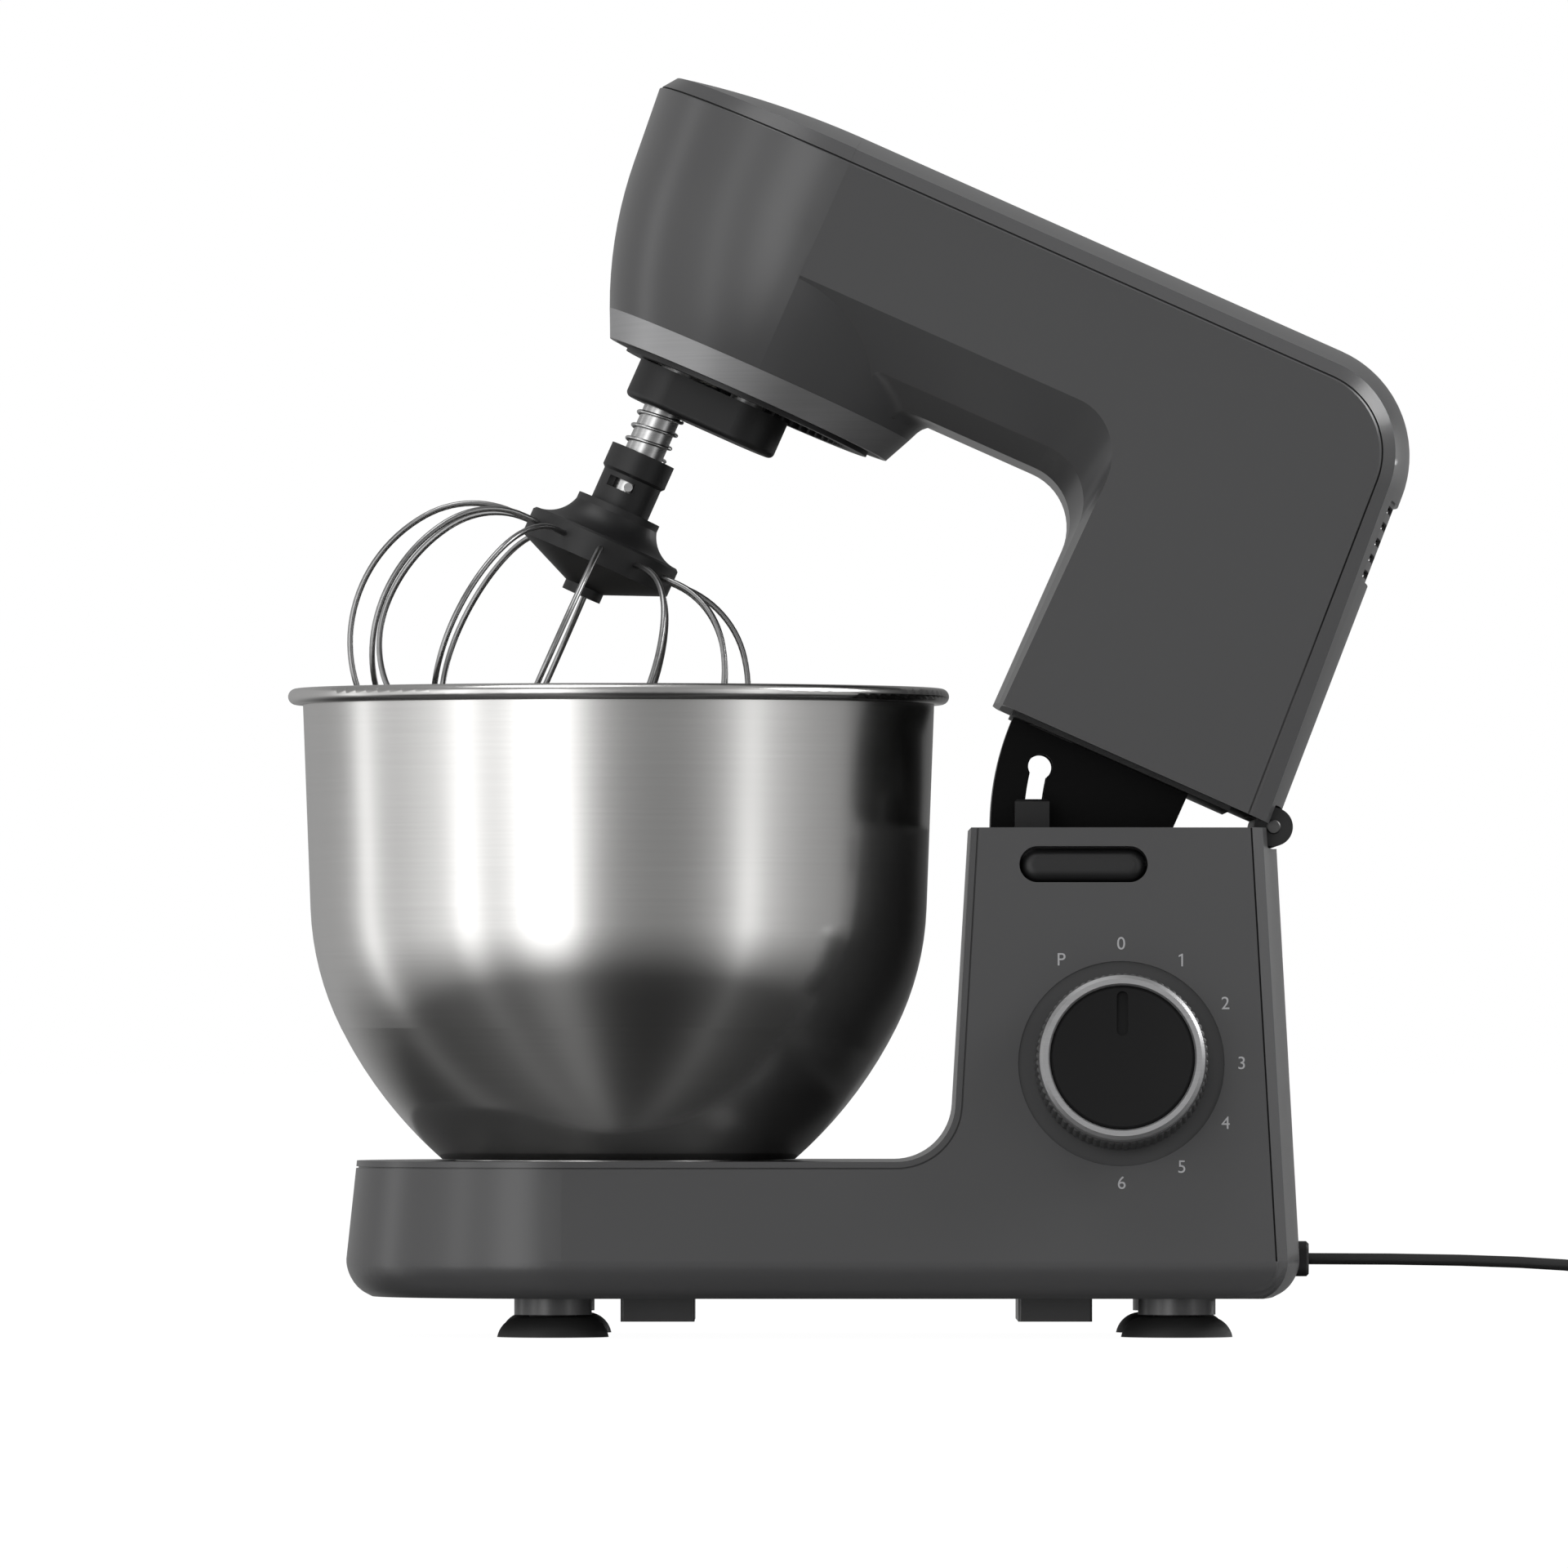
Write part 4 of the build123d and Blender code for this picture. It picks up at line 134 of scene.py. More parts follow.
# Outline of the figure one, a unit high about its middle
ONE_OUTLINE = (
    (0.13, -0.5),
    (0.13, 0.5),
    (0.05, 0.5),
    (-0.2, 0.37),
    (-0.2, 0.24),
    (0.0, 0.33),
    (0.0, -0.5),
)
# Radius, level and swell of the grip's section, round from its inner foot
GRIP_ROWS = (
    (0.0274, 0.0012, 0.0),
    (0.0291, 0.0012, 0.0005),
    (0.0286, 0.0150, 0.0005),
    (0.0284, 0.0154, 0.0),
    (0.0274, 0.0154, 0.0),
)
GRIP_RIBS = 72
RIB_STEPS = 8

# Share of the floor's tone that the camera sees as plain white, and that white's strength
FLOOR_WHITE_SHARE = 0.85
FLOOR_WHITE = 1.16
FLOOR_SIDE = 60.0
FLOOR_DROP = 0.0004
SENSOR_WIDTH = 36.0
# Cap height of the text font as a share of its size
CAP_SHARE = 0.7
INK_DEPTH = 0.00002
# Route of the cord from the base to its coil, and the coil's middle and points to a turn
CORD_LEAD = (
    (0.1574, 0.0, 0.026),
    (0.248, 0.0, 0.026),
    (0.284, 0.001, 0.016),
    (0.322, 0.0, 0.0033),
    (0.342, 0.0, 0.0033),
)
COIL_X = 0.346
COIL_STEPS = 12
GRAIN_DEPTH = 0.0001
STREAK_DEPTH = 0.00005


def shade(name, description, default):
    """A colour setting."""
    return FloatVectorProperty(
        name=name, description=description, subtype="COLOR", size=3, min=0.0, max=1.0, default=default
    )


def share(name, description, default):
    """A setting from 0 to 1."""
    return FloatProperty(
        name=name, description=description, subtype="FACTOR", min=0.0, max=1.0, default=default
    )


def size(name, description, default):
    """A length setting in metres."""
    return FloatProperty(
        name=name, description=description, subtype="DISTANCE", unit="LENGTH", default=default
    )


class MixerFinish(PropertyGroup):
    """Colours and gloss of the mixer's finishes."""

    lacquer: shade("Lacquer", "Grey of the painted shells", (0.074, 0.074, 0.0755))
    lacquer_gloss: share("Lacquer roughness", "Roughness of the painted shells", 0.28)
    moulding: shade("Moulding", "Black of the moulded pieces", (0.010, 0.010, 0.0105))
    moulding_gloss: share("Moulding roughness", "Roughness of the moulded pieces", 0.48)
    deep: shade("Deep black", "Black of the lock's tongue", (0.0025, 0.0025, 0.0026))
    knob: shade("Knob", "Black of the knob's cap", (0.012, 0.012, 0.0123))
    dial: shade("Dial", "Grey of the ring under the knob", (0.05, 0.05, 0.051))
    grip: shade("Grip", "Grey of the knob's ribbed sleeve", (0.045, 0.045, 0.0455))
    trim: shade("Trim", "Silver of the band and the knob's ring", (0.41, 0.41, 0.415))
    steel: shade("Bowl steel", "Tint of the bowl", (0.62, 0.615, 0.605))
    wire: shade("Wire steel", "Tint of the whisk's wires", (0.3, 0.3, 0.3))
    rubber: shade("Rubber", "Black of the feet", (0.012, 0.012, 0.012))
    sheath: shade("Cord sheath", "Black of the cord", (0.012, 0.012, 0.012))
    marking: shade("Marking", "Grey of the dial's numbers", (0.42, 0.42, 0.43))


class MixerDial(PropertyGroup):
    """Layout of the numbers round the speed knob."""

    radius: size("Number circle", "Radius of the circle that the numbers stand on", 0.0408)
    height: size("Number height", "Height of a number", 0.0043)
    step: FloatProperty(
        name="Step",
        description="Turn from one number to the next",
        subtype="ANGLE",
        unit="ROTATION",
        default=math.radians(30.0),
    )


class MixerCord(PropertyGroup):
    """The power cord and its coil."""

    diameter: size("Diameter", "Thickness of the cord", 0.004)
    coil_radius: size("Coil radius", "Radius of the coil's outer turn", 0.030)
    coil_pitch: size("Coil pitch", "Distance between turns", 0.0052)
    coil_climb: size("Coil climb", "Height from one layer to the next", 0.0048)
    turns: IntProperty(name="Turns", description="Turns in each layer of the coil", min=1, default=3)
    tail: size("Tail", "Straight cord before the plug", 0.024)


class MixerStudio(PropertyGroup):
    """Camera, floor and light."""

    distance: size("Camera distance", "From the camera to the point it aims at", 6.2)
    elevation: FloatProperty(
        name="Camera elevation",
        description="Camera's height over the horizon through its aim",
        subtype="ANGLE",
        unit="ROTATION",
        default=math.radians(-0.75),
    )
    frame_width: size("Frame width", "Width that the frame shows at the mixer", 0.5376)
    aim_x: size("Aim X", "Point that the camera aims at", -0.0223)
    aim_z: size("Aim height", "Height that the camera aims at", 0.1887)
    floor: shade("Floor", "Colour of the floor", (0.55, 0.55, 0.55))
    sky: FloatProperty(name="Sky", description="Strength of the light from above", min=0.0, default=0.35)


# Shader helpers and groups


def node(tree, kind, place, **values):
    """Add a node and set its sockets and fields by name."""
    made = tree.nodes.new(kind)
    made.location = (place[0] * 190.0, place[1] * -170.0)
    for key, value in values.items():
        if hasattr(made, key):
            setattr(made, key, value)
        else:
            made.inputs[key.replace("_", " ")].default_value = value
    return made


def start_group(name, inputs, outputs):
    """Begin a node group with float or colour sockets, and return it with its ends."""
    tree = bpy.data.node_groups.new(name, "ShaderNodeTree")
    for label, kind, default in inputs:
        socket = tree.interface.new_socket(label, in_out="INPUT", socket_type=kind)
        socket.default_value = default
    for label, kind in outputs:
        tree.interface.new_socket(label, in_out="OUTPUT", socket_type=kind)
    return tree, node(tree, "NodeGroupInput", (-5, 0)), node(tree, "NodeGroupOutput", (4, 0))


def moulded_grain_group():
    """Fine spark-eroded grain with a slow drift of tone."""
    tree, source, sink = start_group(
        "Moulded Grain",
        [
            ("Colour", "NodeSocketColor", (0.1, 0.1, 0.1, 1)),
            ("Roughness", "NodeSocketFloat", 0.5),
            ("Grain", "NodeSocketFloat", 2600.0),
            ("Drift", "NodeSocketFloat", 0.12),
        ],
        [("Colour", "NodeSocketColor"), ("Roughness", "NodeSocketFloat"), ("Height", "NodeSocketFloat")],
    )
    place = node(tree, "ShaderNodeTexCoord", (-5, 2))
    grain = node(tree, "ShaderNodeTexNoise", (-3, 0), Detail=3.0, Roughness=0.55)
    slow = node(tree, "ShaderNodeTexNoise", (-3, 1), Scale=22.0, Detail=4.0, Roughness=0.6)
    tone = node(tree, "ShaderNodeMapRange", (-2, 1), From_Min=0.25, From_Max=0.75, To_Min=-0.5, To_Max=0.5)
    swing = node(tree, "ShaderNodeMath", (-1, 1), operation="MULTIPLY")
    gain = node(tree, "ShaderNodeMath", (0, 1), operation="ADD")
    gain.inputs[1].default_value = 1.0
    tint = node(tree, "ShaderNodeVectorMath", (1, 0), operation="SCALE")
    rough = node(tree, "ShaderNodeMath", (2, 1), operation="MULTIPLY")
    links = tree.links
    links.new(place.outputs["Object"], grain.inputs["Vector"])
    links.new(place.outputs["Object"], slow.inputs["Vector"])
    links.new(source.outputs["Grain"], grain.inputs["Scale"])
    links.new(slow.outputs["Fac"], tone.inputs["Value"])
    links.new(tone.outputs["Result"], swing.inputs[0])
    links.new(source.outputs["Drift"], swing.inputs[1])
    links.new(swing.outputs[0], gain.inputs[0])
    links.new(source.outputs["Colour"], tint.inputs[0])
    links.new(gain.outputs[0], tint.inputs["Scale"])
    links.new(source.outputs["Roughness"], rough.inputs[0])
    links.new(gain.outputs[0], rough.inputs[1])
    links.new(tint.outputs[0], sink.inputs["Colour"])
    links.new(rough.outputs[0], sink.inputs["Roughness"])
    links.new(grain.outputs["Fac"], sink.inputs["Height"])
    return tree


def brushed_group():
    """Fine streaks round an upright axis, for turned and brushed steel."""
    tree, source, sink = start_group(
        "Brushed Streaks",
        [
            ("Colour", "NodeSocketColor", (0.6, 0.6, 0.6, 1)),
            ("Roughness", "NodeSocketFloat", 0.2),
            ("Streaks", "NodeSocketFloat", 900.0),
            ("Strength", "NodeSocketFloat", 0.25),
        ],
        [("Colour", "NodeSocketColor"), ("Roughness", "NodeSocketFloat"), ("Height", "NodeSocketFloat")],
    )
    place = node(tree, "ShaderNodeTexCoord", (-5, 2))
    squeeze = node(tree, "ShaderNodeMapping", (-4, 1))
    squeeze.inputs["Scale"].default_value = (0.012, 0.012, 1.0)
    streak = node(tree, "ShaderNodeTexNoise", (-3, 0), Detail=4.0, Roughness=0.7)
    cloud = node(tree, "ShaderNodeTexNoise", (-3, 1), Scale=9.0, Detail=3.0, Roughness=0.5)
    spread = node(tree, "ShaderNodeMapRange", (-2, 0), From_Min=0.3, From_Max=0.7, To_Min=-0.5, To_Max=0.5)
    haze = node(tree, "ShaderNodeMapRange", (-2, 1), From_Min=0.3, From_Max=0.7, To_Min=0.85, To_Max=1.2)
    swing = node(tree, "ShaderNodeMath", (-1, 0), operation="MULTIPLY")
    gain = node(tree, "ShaderNodeMath", (0, 0), operation="ADD")
    gain.inputs[1].default_value = 1.0
    tint = node(tree, "ShaderNodeVectorMath", (1, 0), operation="SCALE")
    rough = node(tree, "ShaderNodeMath", (1, 1), operation="MULTIPLY")
    both = node(tree, "ShaderNodeMath", (2, 1), operation="MULTIPLY")
    links = tree.links
    links.new(place.outputs["Object"], squeeze.inputs["Vector"])
    links.new(squeeze.outputs[0], streak.inputs["Vector"])
    links.new(place.outputs["Object"], cloud.inputs["Vector"])
    links.new(source.outputs["Streaks"], streak.inputs["Scale"])
    links.new(streak.outputs["Fac"], spread.inputs["Value"])
    links.new(cloud.outputs["Fac"], haze.inputs["Value"])
    links.new(spread.outputs["Result"], swing.inputs[0])
    links.new(source.outputs["Strength"], swing.inputs[1])
    links.new(swing.outputs[0], gain.inputs[0])
    links.new(source.outputs["Colour"], tint.inputs[0])
    links.new(gain.outputs[0], tint.inputs["Scale"])
    links.new(source.outputs["Roughness"], rough.inputs[0])
    links.new(haze.outputs["Result"], rough.inputs[1])
    links.new(rough.outputs[0], both.inputs[0])
    links.new(gain.outputs[0], both.inputs[1])
    links.new(tint.outputs[0], sink.inputs["Colour"])
    links.new(both.outputs[0], sink.inputs["Roughness"])
    links.new(streak.outputs["Fac"], sink.inputs["Height"])
    return tree


def group_of(name, maker):
    """Return a node group, made the first time it is asked for."""
    return bpy.data.node_groups.get(name) or maker()


def finish_material(name, group, colour, roughness, bump, depth, settings, sockets):
    """Make a material whose colour, roughness and bump come from a group."""
    found = bpy.data.materials.get(name)
    if found:
        return found
    material = bpy.data.materials.new(name)
    material.use_nodes = True
    tree = material.node_tree
    tree.nodes.clear()
    out = node(tree, "ShaderNodeOutputMaterial", (4, 0))
    shader = node(tree, "ShaderNodeBsdfPrincipled", (2, 0))
    effect = node(tree, "ShaderNodeGroup", (0, 0), node_tree=group)
    effect.inputs["Colour"].default_value = (*colour, 1.0)
    effect.inputs["Roughness"].default_value = roughness
    for key, value in settings.items():
        effect.inputs[key].default_value = value
    relief = node(tree, "ShaderNodeBump", (1, 1), Strength=bump, Distance=depth)
    for key, value in sockets.items():
        shader.inputs[key].default_value = value
    links = tree.links
    links.new(effect.outputs["Colour"], shader.inputs["Base Color"])
    links.new(effect.outputs["Roughness"], shader.inputs["Roughness"])
    links.new(effect.outputs["Height"], relief.inputs["Height"])
    links.new(relief.outputs["Normal"], shader.inputs["Normal"])
    links.new(shader.outputs["BSDF"], out.inputs["Surface"])
    material.diffuse_color = (*colour, 1.0)
    return material


def grained(name, colour, roughness, grain, bump, drift=0.12, **sockets):
    """A moulded or painted finish."""
    group = group_of("Moulded Grain", moulded_grain_group)
    settings = {"Grain": grain, "Drift": drift}
    return finish_material(name, group, colour, roughness, bump, GRAIN_DEPTH, settings, sockets)


def brushed(name, colour, roughness, streaks, strength, bump, **sockets):
    """A bright metal finish with fine streaks."""
    group = group_of("Brushed Streaks", brushed_group)
    settings = {"Streaks": streaks, "Strength": strength}
    sockets = {"Metallic": 1.0, **sockets}
    return finish_material(name, group, colour, roughness, bump, STREAK_DEPTH, settings, sockets)


def paint(material, *names):
    """Give nodes a material."""
    for name in names:
        data = NODES[name].data
        data.materials.clear()
        data.materials.append(material)


def ribbed_sleeve(name, rows, count):
    """Return a closed turned mesh whose rows of radius, level and swell carry fine ribs."""
    mesh = bpy.data.meshes.new(name)
    steps = count * RIB_STEPS
    span = len(rows)
    points = []
    faces = []
    for index in range(steps):
        turn = 2.0 * math.pi * index / steps
        wave = abs(math.sin(count * turn / 2.0))
        after = (index + 1) % steps
        for row, (radius, level, swell) in enumerate(rows):
            reach = radius + swell * wave
            points.append((reach * math.cos(turn), reach * math.sin(turn), level))
            other = (row + 1) % span
            here, there = index * span, after * span
            faces.append((here + row, there + row, there + other, here + other))
    mesh.from_pydata(points, [], faces)
    mesh.update()
    return mesh


def panel_frame():
    """Return the matrix of the near panel at the knob, x along it and y up it."""
    joint = next(j for j in frame["joints"] if j["name"] == "speed_knob")
    out = -Vector(joint["axis"])
    along = Vector((1, 0, 0))
    turn = Matrix((along, out.cross(along), out)).transposed()
    return Matrix.Translation(Vector(joint["pos_m"])) @ turn.to_4x4()


# Operators


class MIXER_OT_shells(Operator):
    """Paint the shells of the base and the head"""

    bl_idname = "mixer.shells"
    bl_label = "Painted Shells"

    def execute(self, context):
        finish = context.scene.mixer_finish
        lacquer = grained(
            "Grey Lacquer",
            finish.lacquer,
            finish.lacquer_gloss,
            3200.0,
            0.05,
            0.02,
            **{"Specular IOR Level": 0.5},
        )
        paint(lacquer, *BODY_SHELLS)
        return {"FINISHED"}


class MIXER_OT_mouldings(Operator):
    """Finish the black mouldings, the knob's cap and the dial ring"""

    bl_idname = "mixer.mouldings"
    bl_label = "Black Mouldings"

    def execute(self, context):
        finish = context.scene.mixer_finish
        paint(
            grained("Black Moulding", finish.moulding, finish.moulding_gloss, 2600.0, 0.18),
            *BLACK_MOULDINGS,
        )
        dim = {"Specular IOR Level": 0.12}
        paint(grained("Deep Black", finish.deep, 0.35, 2600.0, 0.1, **dim), "lock_tongue")
        paint(grained("Knob Cap", finish.knob, 0.45, 3000.0, 0.06, 0.04, **dim), "knob_cap")
        paint(grained("Dial Ring", finish.dial, 0.26, 2400.0, 0.05, 0.02), "dial_ring")
        paint(grained("Rubber", finish.rubber, 0.62, 1800.0, 0.25, 0.2), "suction_feet", "drive_belt")
        paint(grained("Gland", finish.moulding, 0.5, 2600.0, 0.2), "cord_gland")
        return {"FINISHED"}


class MIXER_OT_knob_grip(Operator):
    """Make the ribbed sleeve under the knob's ring"""

    bl_idname = "mixer.knob_grip"
    bl_label = "Knob Grip"

    def execute(self, context):
        mesh = ribbed_sleeve("knob_grip", GRIP_ROWS, GRIP_RIBS)
        finish = context.scene.mixer_finish
        mesh.materials.append(grained("Knob Grip", finish.grip, 0.4, 2400.0, 0.1))
        piece = bpy.data.objects.new("knob_grip", mesh)
        context.scene.collection.objects.link(piece)
        piece.matrix_world = panel_frame()
        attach(piece, "knob")
        return {"FINISHED"}


class MIXER_OT_metals(Operator):
    """Finish the bowl, the whisk's wires, the trim and the steel pieces"""

    bl_idname = "mixer.metals"
    bl_label = "Metals"

    def execute(self, context):
        finish = context.scene.mixer_finish
        bowl = brushed(
            "Bowl Steel", finish.steel, 0.22, 900.0, 0.04, 0.006, **{"Anisotropic": 0.3}
        )
        paint(bowl, *BRIGHT_STEEL)
        paint(brushed("Whisk Wire", finish.wire, 0.3, 500.0, 0.2, 0.05), "whisk_wires")
        silver = brushed("Silver Trim", finish.trim, 0.4, 1500.0, 0.12, 0.03, Metallic=0.75)
        paint(silver, "trim_band", "knob_ring")
        paint(brushed("Plain Steel", (0.5, 0.5, 0.5), 0.3, 700.0, 0.25, 0.06), *PLAIN_STEEL)
        paint(brushed("Dull Steel", (0.12, 0.12, 0.12), 0.5, 700.0, 0.2, 0.05), "hinge_pin")
        paint(brushed("Cast Metal", (0.42, 0.42, 0.43), 0.5, 300.0, 0.2, 0.1), "gear_case")
        paint(brushed("Bronze", (0.45, 0.27, 0.11), 0.4, 400.0, 0.2, 0.08), "main_bush", "motor_bearings")
        return {"FINISHED"}


class MIXER_OT_inner_pieces(Operator):
    """Finish the gears and the control board"""

    bl_idname = "mixer.inner_pieces"
    bl_label = "Gears and Board"

    def execute(self, context):
        paint(grained("Gear Nylon", (0.62, 0.6, 0.53), 0.45, 1400.0, 0.08), *NYLON_GEARS)
        paint(grained("Dark Nylon", (0.02, 0.02, 0.021), 0.45, 1400.0, 0.08), "ring_gear")
        paint(grained("Board", (0.02, 0.11, 0.05), 0.4, 900.0, 0.1, 0.3), "control_board")
        return {"FINISHED"}


def printed_one(name, height):
    """Return a flat curve of the figure one, with its flag."""
    curve = bpy.data.curves.new(name, "CURVE")
    curve.dimensions = "2D"
    curve.fill_mode = "BOTH"
    spline = curve.splines.new("POLY")
    spline.points.add(len(ONE_OUTLINE) - 1)
    for knot, (x, y) in zip(spline.points, ONE_OUTLINE):
        knot.co = (x * height, y * height, 0.0, 1.0)
    spline.use_cyclic_u = True
    return curve


def printed_word(name, word, height):
    """Return a text curve of one figure or letter."""
    curve = bpy.data.curves.new(name, "FONT")
    curve.body = word
    curve.align_x = "CENTER"
    curve.align_y = "CENTER"
    curve.size = height / CAP_SHARE
    return curve


class MIXER_OT_dial_numbers(Operator):
    """Print the numbers round the speed knob"""

    bl_idname = "mixer.dial_numbers"
    bl_label = "Dial Numbers"

    def execute(self, context):
        finish = context.scene.mixer_finish
        dial = context.scene.mixer_dial
        ink = grained("Dial Ink", finish.marking, 0.5, 2000.0, 0.02, 0.05)
        panel = panel_frame()
        for place, word in enumerate("P0123456"):
            turn = (place - 1) * dial.step
            name = f"dial_{word}"
            if word == "1":
                curve = printed_one(name, dial.height)
            else:
                curve = printed_word(name, word, dial.height)
            curve.extrude = INK_DEPTH
            curve.materials.append(ink)
            number = bpy.data.objects.new(name, curve)
            context.scene.collection.objects.link(number)
            spot = Vector((math.sin(turn) * dial.radius, math.cos(turn) * dial.radius, 2.0 * INK_DEPTH))
            number.matrix_world = panel @ Matrix.Translation(spot)
            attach(number, "base")
        return {"FINISHED"}


class MIXER_OT_cord(Operator):
    """Lay the power cord, with its coil, tie and plug"""

    bl_idname = "mixer.cord"
    bl_label = "Power Cord"

    def execute(self, context):
        finish = context.scene.mixer_finish
        cord = context.scene.mixer_cord
        low_z = CORD_LEAD[-1][2]
        top_z = low_z + cord.coil_climb
        points = [Vector(point) for point in CORD_LEAD]
        centre = Vector((COIL_X, cord.coil_radius, 0.0))
        steps = COIL_STEPS
        layer = steps * cord.turns
        half = steps // 2
        swell = 1.0 / math.cos(math.pi / steps)
        for index in range(2 * layer + half):
            step = index + 0.5
            inward = min(step, layer)
            outward = max(step - layer - half, 0)
            rise = min(max(step - layer, 0), half) / half
            radius = (cord.coil_radius - cord.coil_pitch * (inward - outward) / steps) * swell
            turn = 2.0 * math.pi * (step - steps / 4) / steps
            level = low_z + cord.coil_climb * rise
            points.append(centre + Vector((radius * math.cos(turn), radius * math.sin(turn), level)))
        points.append(Vector((centre.x - cord.tail, 2.0 * cord.coil_radius, top_z)))
        curve = bpy.data.curves.new("power_cord", "CURVE")
        curve.dimensions = "3D"
        curve.bevel_depth = cord.diameter / 2.0
        curve.bevel_resolution = 5
        curve.use_fill_caps = True
        spline = curve.splines.new("NURBS")
        spline.points.add(len(points) - 1)
        for knot, point in zip(spline.points, points):
            knot.co = (*point, 1.0)
        spline.order_u = 3
        spline.use_endpoint_u = True
        spline.resolution_u = 6
        sheath = grained("Cord Sheath", finish.sheath, 0.5, 1600.0, 0.12)
        curve.materials.append(sheath)
        piece = bpy.data.objects.new("power_cord", curve)
        context.scene.collection.objects.link(piece)
        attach(piece, "base")
        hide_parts("cord_lead", "cord_coil")
        paint(sheath, "cord_tie", "plug_body")
        return {"FINISHED"}


def area_light(name, place, target, width, height, power):
    """Add a soft rectangular light that faces a point."""
    lamp = bpy.data.lights.new(name, "AREA")
    lamp.shape = "RECTANGLE"
    lamp.size = width
    lamp.size_y = height
    lamp.energy = power
    piece = bpy.data.objects.new(name, lamp)
    bpy.context.scene.collection.objects.link(piece)
    piece.location = place
    piece.rotation_euler = (Vector(target) - Vector(place)).to_track_quat("-Z", "Y").to_euler()


def fill_ramp(ramp, stops, half_span, peak):
    """Set a ramp's stops from pairs of a bearing in degrees and a level."""
    elements = ramp.elements
    while len(elements) > 1:
        elements.remove(elements[-1])
    for index, (bearing, level) in enumerate(stops):
        spot = (bearing + half_span) / (2.0 * half_span)
        element = elements[0] if index == 0 else elements.new(spot)
        element.position = spot
        element.color = (level / peak, level / peak, level / peak, 1.0)


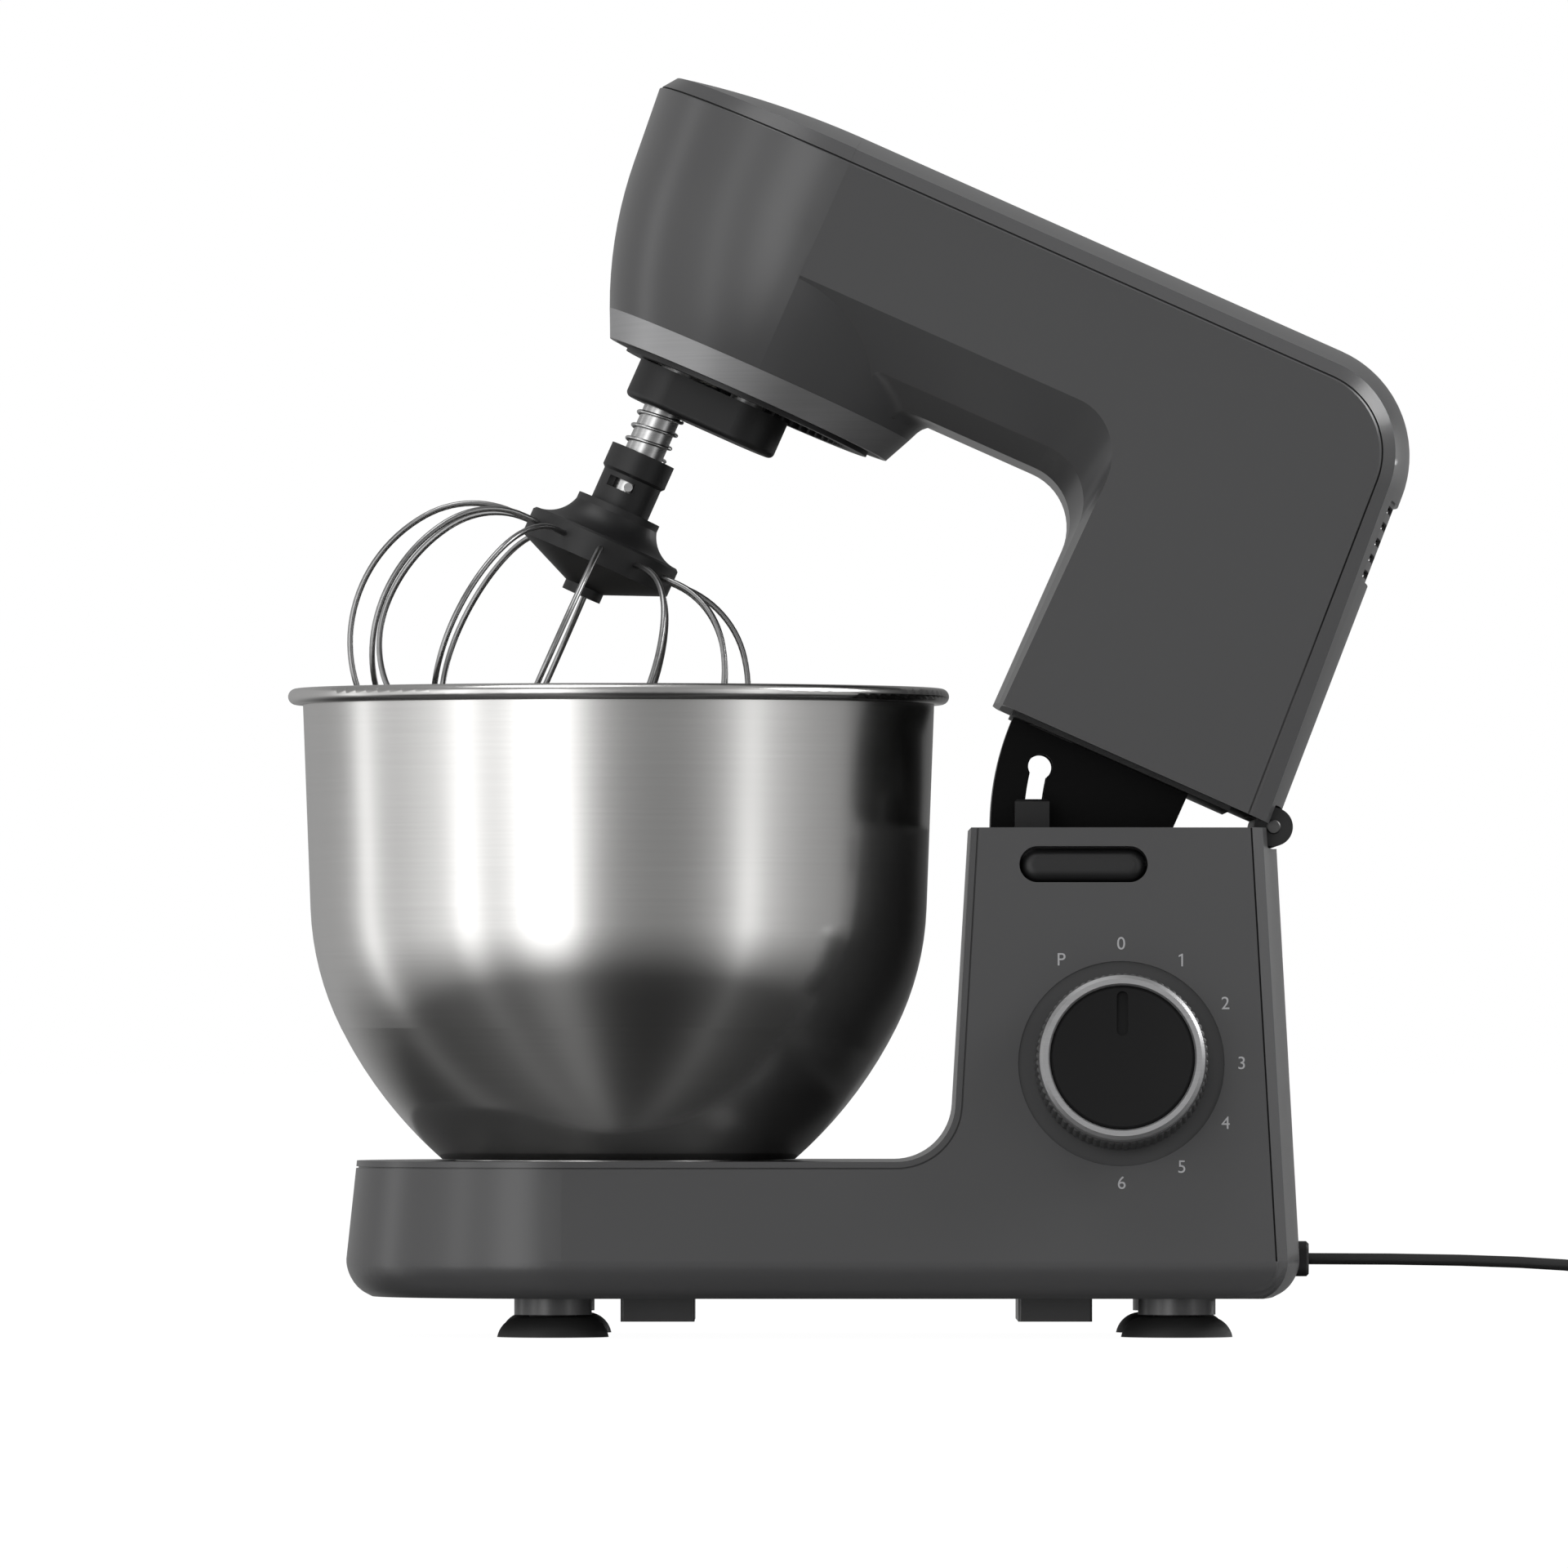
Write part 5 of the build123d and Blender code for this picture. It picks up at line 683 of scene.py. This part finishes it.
class MIXER_OT_studio(Operator):
    """Build the floor, the sky, the lights and the camera"""

    bl_idname = "mixer.studio"
    bl_label = "Studio"

    def execute(self, context):
        studio = context.scene.mixer_studio
        self.camera(context, studio)
        self.floor(context, studio)
        self.sky(context, studio)
        self.lights()
        context.scene.view_settings.view_transform = "Standard"
        return {"FINISHED"}

    def camera(self, context, studio):
        """Place a long lens at the photograph's angle."""
        data = bpy.data.cameras.new("studio_camera")
        data.sensor_width = SENSOR_WIDTH
        data.lens = SENSOR_WIDTH * studio.distance / studio.frame_width
        data.clip_end = 200.0
        camera = bpy.data.objects.new("studio_camera", data)
        context.scene.collection.objects.link(camera)
        aim = Vector((studio.aim_x, 0.0, studio.aim_z))
        back = Vector((0.0, -math.cos(studio.elevation), math.sin(studio.elevation)))
        camera.location = aim + back * studio.distance
        camera.rotation_euler = (-back).to_track_quat("-Z", "Y").to_euler()
        context.scene.camera = camera

    def floor(self, context, studio):
        """Lay a pale floor that keeps a faint shadow and stays out of mirror reflections."""
        material = bpy.data.materials.new("Studio Floor")
        material.use_nodes = True
        tree = material.node_tree
        tree.nodes.clear()
        out = node(tree, "ShaderNodeOutputMaterial", (4, 0))
        blend = node(tree, "ShaderNodeMixShader", (3, 0))
        matt = node(tree, "ShaderNodeBsdfDiffuse", (2, 0), Color=(*studio.floor, 1.0))
        glow = node(tree, "ShaderNodeEmission", (2, 1), Color=(1.0, 1.0, 1.0, 1.0), Strength=FLOOR_WHITE)
        path = node(tree, "ShaderNodeLightPath", (0, 2))
        seen = node(tree, "ShaderNodeMath", (1, 2), operation="MULTIPLY")
        seen.inputs[1].default_value = FLOOR_WHITE_SHARE
        links = tree.links
        links.new(path.outputs["Is Camera Ray"], seen.inputs[0])
        links.new(seen.outputs[0], blend.inputs[0])
        links.new(matt.outputs[0], blend.inputs[1])
        links.new(glow.outputs[0], blend.inputs[2])
        links.new(blend.outputs[0], out.inputs["Surface"])
        half = FLOOR_SIDE / 2.0
        signs = ((-1, -1), (1, -1), (1, 1), (-1, 1))
        mesh = bpy.data.meshes.new("studio_floor")
        mesh.from_pydata([(x * half, y * half, -FLOOR_DROP) for x, y in signs], [], [(0, 1, 2, 3)])
        mesh.materials.append(material)
        piece = bpy.data.objects.new("studio_floor", mesh)
        context.scene.collection.objects.link(piece)
        piece.visible_glossy = False

    def sky(self, context, studio):
        """Set tall soft lights all round by their bearing, white to the camera."""
        world = bpy.data.worlds.new("Studio Sky")
        context.scene.world = world
        world.use_nodes = True
        tree = world.node_tree
        tree.nodes.clear()
        out = node(tree, "ShaderNodeOutputWorld", (7, 0))
        place = node(tree, "ShaderNodeTexCoord", (-3, 0))
        split = node(tree, "ShaderNodeSeparateXYZ", (-2, 0))
        flip = node(tree, "ShaderNodeMath", (-1, 1), operation="MULTIPLY")
        flip.inputs[1].default_value = -1.0
        bearing = node(tree, "ShaderNodeMath", (0, 0), operation="ARCTAN2")
        turn = node(tree, "ShaderNodeMapRange", (1, 0), From_Min=-math.pi, From_Max=math.pi)
        ring = node(tree, "ShaderNodeValToRGB", (2, 0))
        fill_ramp(ring.color_ramp, SKY_RING, 180.0, SKY_PEAK)
        height = node(tree, "ShaderNodeMapRange", (1, 2), From_Min=0.3, From_Max=0.6)
        height.inputs["To Min"].default_value = 1.0
        height.inputs["To Max"].default_value = 0.0
        depth = node(tree, "ShaderNodeMapRange", (1, 3), From_Min=-0.5, From_Max=-0.2, To_Min=0.1)
        span = node(tree, "ShaderNodeMath", (2, 2), operation="MULTIPLY")
        peak = node(tree, "ShaderNodeMath", (3, 1), operation="MULTIPLY")
        peak.inputs[1].default_value = SKY_PEAK
        low = node(tree, "ShaderNodeMath", (4, 0), operation="MULTIPLY")
        top = node(tree, "ShaderNodeMapRange", (3, 2), From_Min=0.25, From_Max=0.7, To_Max=studio.sky)
        both = node(tree, "ShaderNodeMath", (5, 0), operation="ADD")
        even = node(tree, "ShaderNodeBackground", (6, 0), Color=(1.0, 1.0, 1.0, 1.0))
        white = node(tree, "ShaderNodeBackground", (6, 1), Color=(1.0, 1.0, 1.0, 1.0), Strength=1.0)
        path = node(tree, "ShaderNodeLightPath", (5, 2))
        blend = node(tree, "ShaderNodeMixShader", (6, 2))
        links = tree.links
        links.new(place.outputs["Generated"], split.inputs[0])
        links.new(split.outputs["Y"], flip.inputs[0])
        links.new(split.outputs["X"], bearing.inputs[0])
        links.new(flip.outputs[0], bearing.inputs[1])
        links.new(bearing.outputs[0], turn.inputs["Value"])
        links.new(turn.outputs["Result"], ring.inputs["Fac"])
        links.new(split.outputs["Z"], height.inputs["Value"])
        links.new(split.outputs["Z"], depth.inputs["Value"])
        links.new(height.outputs["Result"], span.inputs[0])
        links.new(depth.outputs["Result"], span.inputs[1])
        links.new(split.outputs["Z"], top.inputs["Value"])
        links.new(span.outputs[0], peak.inputs[0])
        links.new(ring.outputs["Color"], low.inputs[0])
        links.new(peak.outputs[0], low.inputs[1])
        links.new(low.outputs[0], both.inputs[0])
        links.new(top.outputs["Result"], both.inputs[1])
        links.new(both.outputs[0], even.inputs["Strength"])
        links.new(path.outputs["Is Camera Ray"], blend.inputs[0])
        links.new(even.outputs[0], blend.inputs[1])
        links.new(white.outputs[0], blend.inputs[2])
        links.new(blend.outputs[0], out.inputs["Surface"])

    def lights(self):
        """Light the back and the top from high up."""
        area_light("back_light", (1.9, -0.3, 1.3), (0.1, 0.0, 0.2), 1.0, 1.0, 29.0)
        area_light("rim_light", (1.3, 1.13, 0.3), (0.2, 0.0, 0.28), 0.5, 0.5, 3.6)
        area_light("top_light", (-0.6, -0.5, 2.2), (-0.05, 0.0, 0.2), 1.2, 1.2, 14.0)


STEPS = (
    MIXER_OT_studio,
    MIXER_OT_cord,
    MIXER_OT_shells,
    MIXER_OT_mouldings,
    MIXER_OT_knob_grip,
    MIXER_OT_metals,
    MIXER_OT_inner_pieces,
    MIXER_OT_dial_numbers,
)


class MIXER_PT_finishes(Panel):
    """Lists the mixer's settings and the steps that dress it."""

    bl_label = "Stand Mixer"
    bl_idname = "MIXER_PT_finishes"
    bl_space_type = "VIEW_3D"
    bl_region_type = "UI"
    bl_category = "Mixer"

    def draw(self, context):
        layout = self.layout
        for step in STEPS:
            layout.operator(step.bl_idname)
        for name in SETTINGS:
            column = layout.box().column()
            settings = getattr(context.scene, name)
            for key in settings.__annotations__:
                column.prop(settings, key)


SETTINGS = {
    "mixer_finish": MixerFinish,
    "mixer_dial": MixerDial,
    "mixer_cord": MixerCord,
    "mixer_studio": MixerStudio,
}
CLASSES = (*SETTINGS.values(), *STEPS, MIXER_PT_finishes)


def register():
    for cls in CLASSES:
        bpy.utils.register_class(cls)
    for name, group in SETTINGS.items():
        setattr(bpy.types.Scene, name, PointerProperty(type=group))


def unregister():
    for name in SETTINGS:
        delattr(bpy.types.Scene, name)
    for cls in reversed(CLASSES):
        bpy.utils.unregister_class(cls)


def main():
    """Dress the mixer."""
    register()
    for step in STEPS:
        area, name = step.bl_idname.split(".")
        getattr(getattr(bpy.ops, area), name)()


if __name__ == "__main__":
    main()
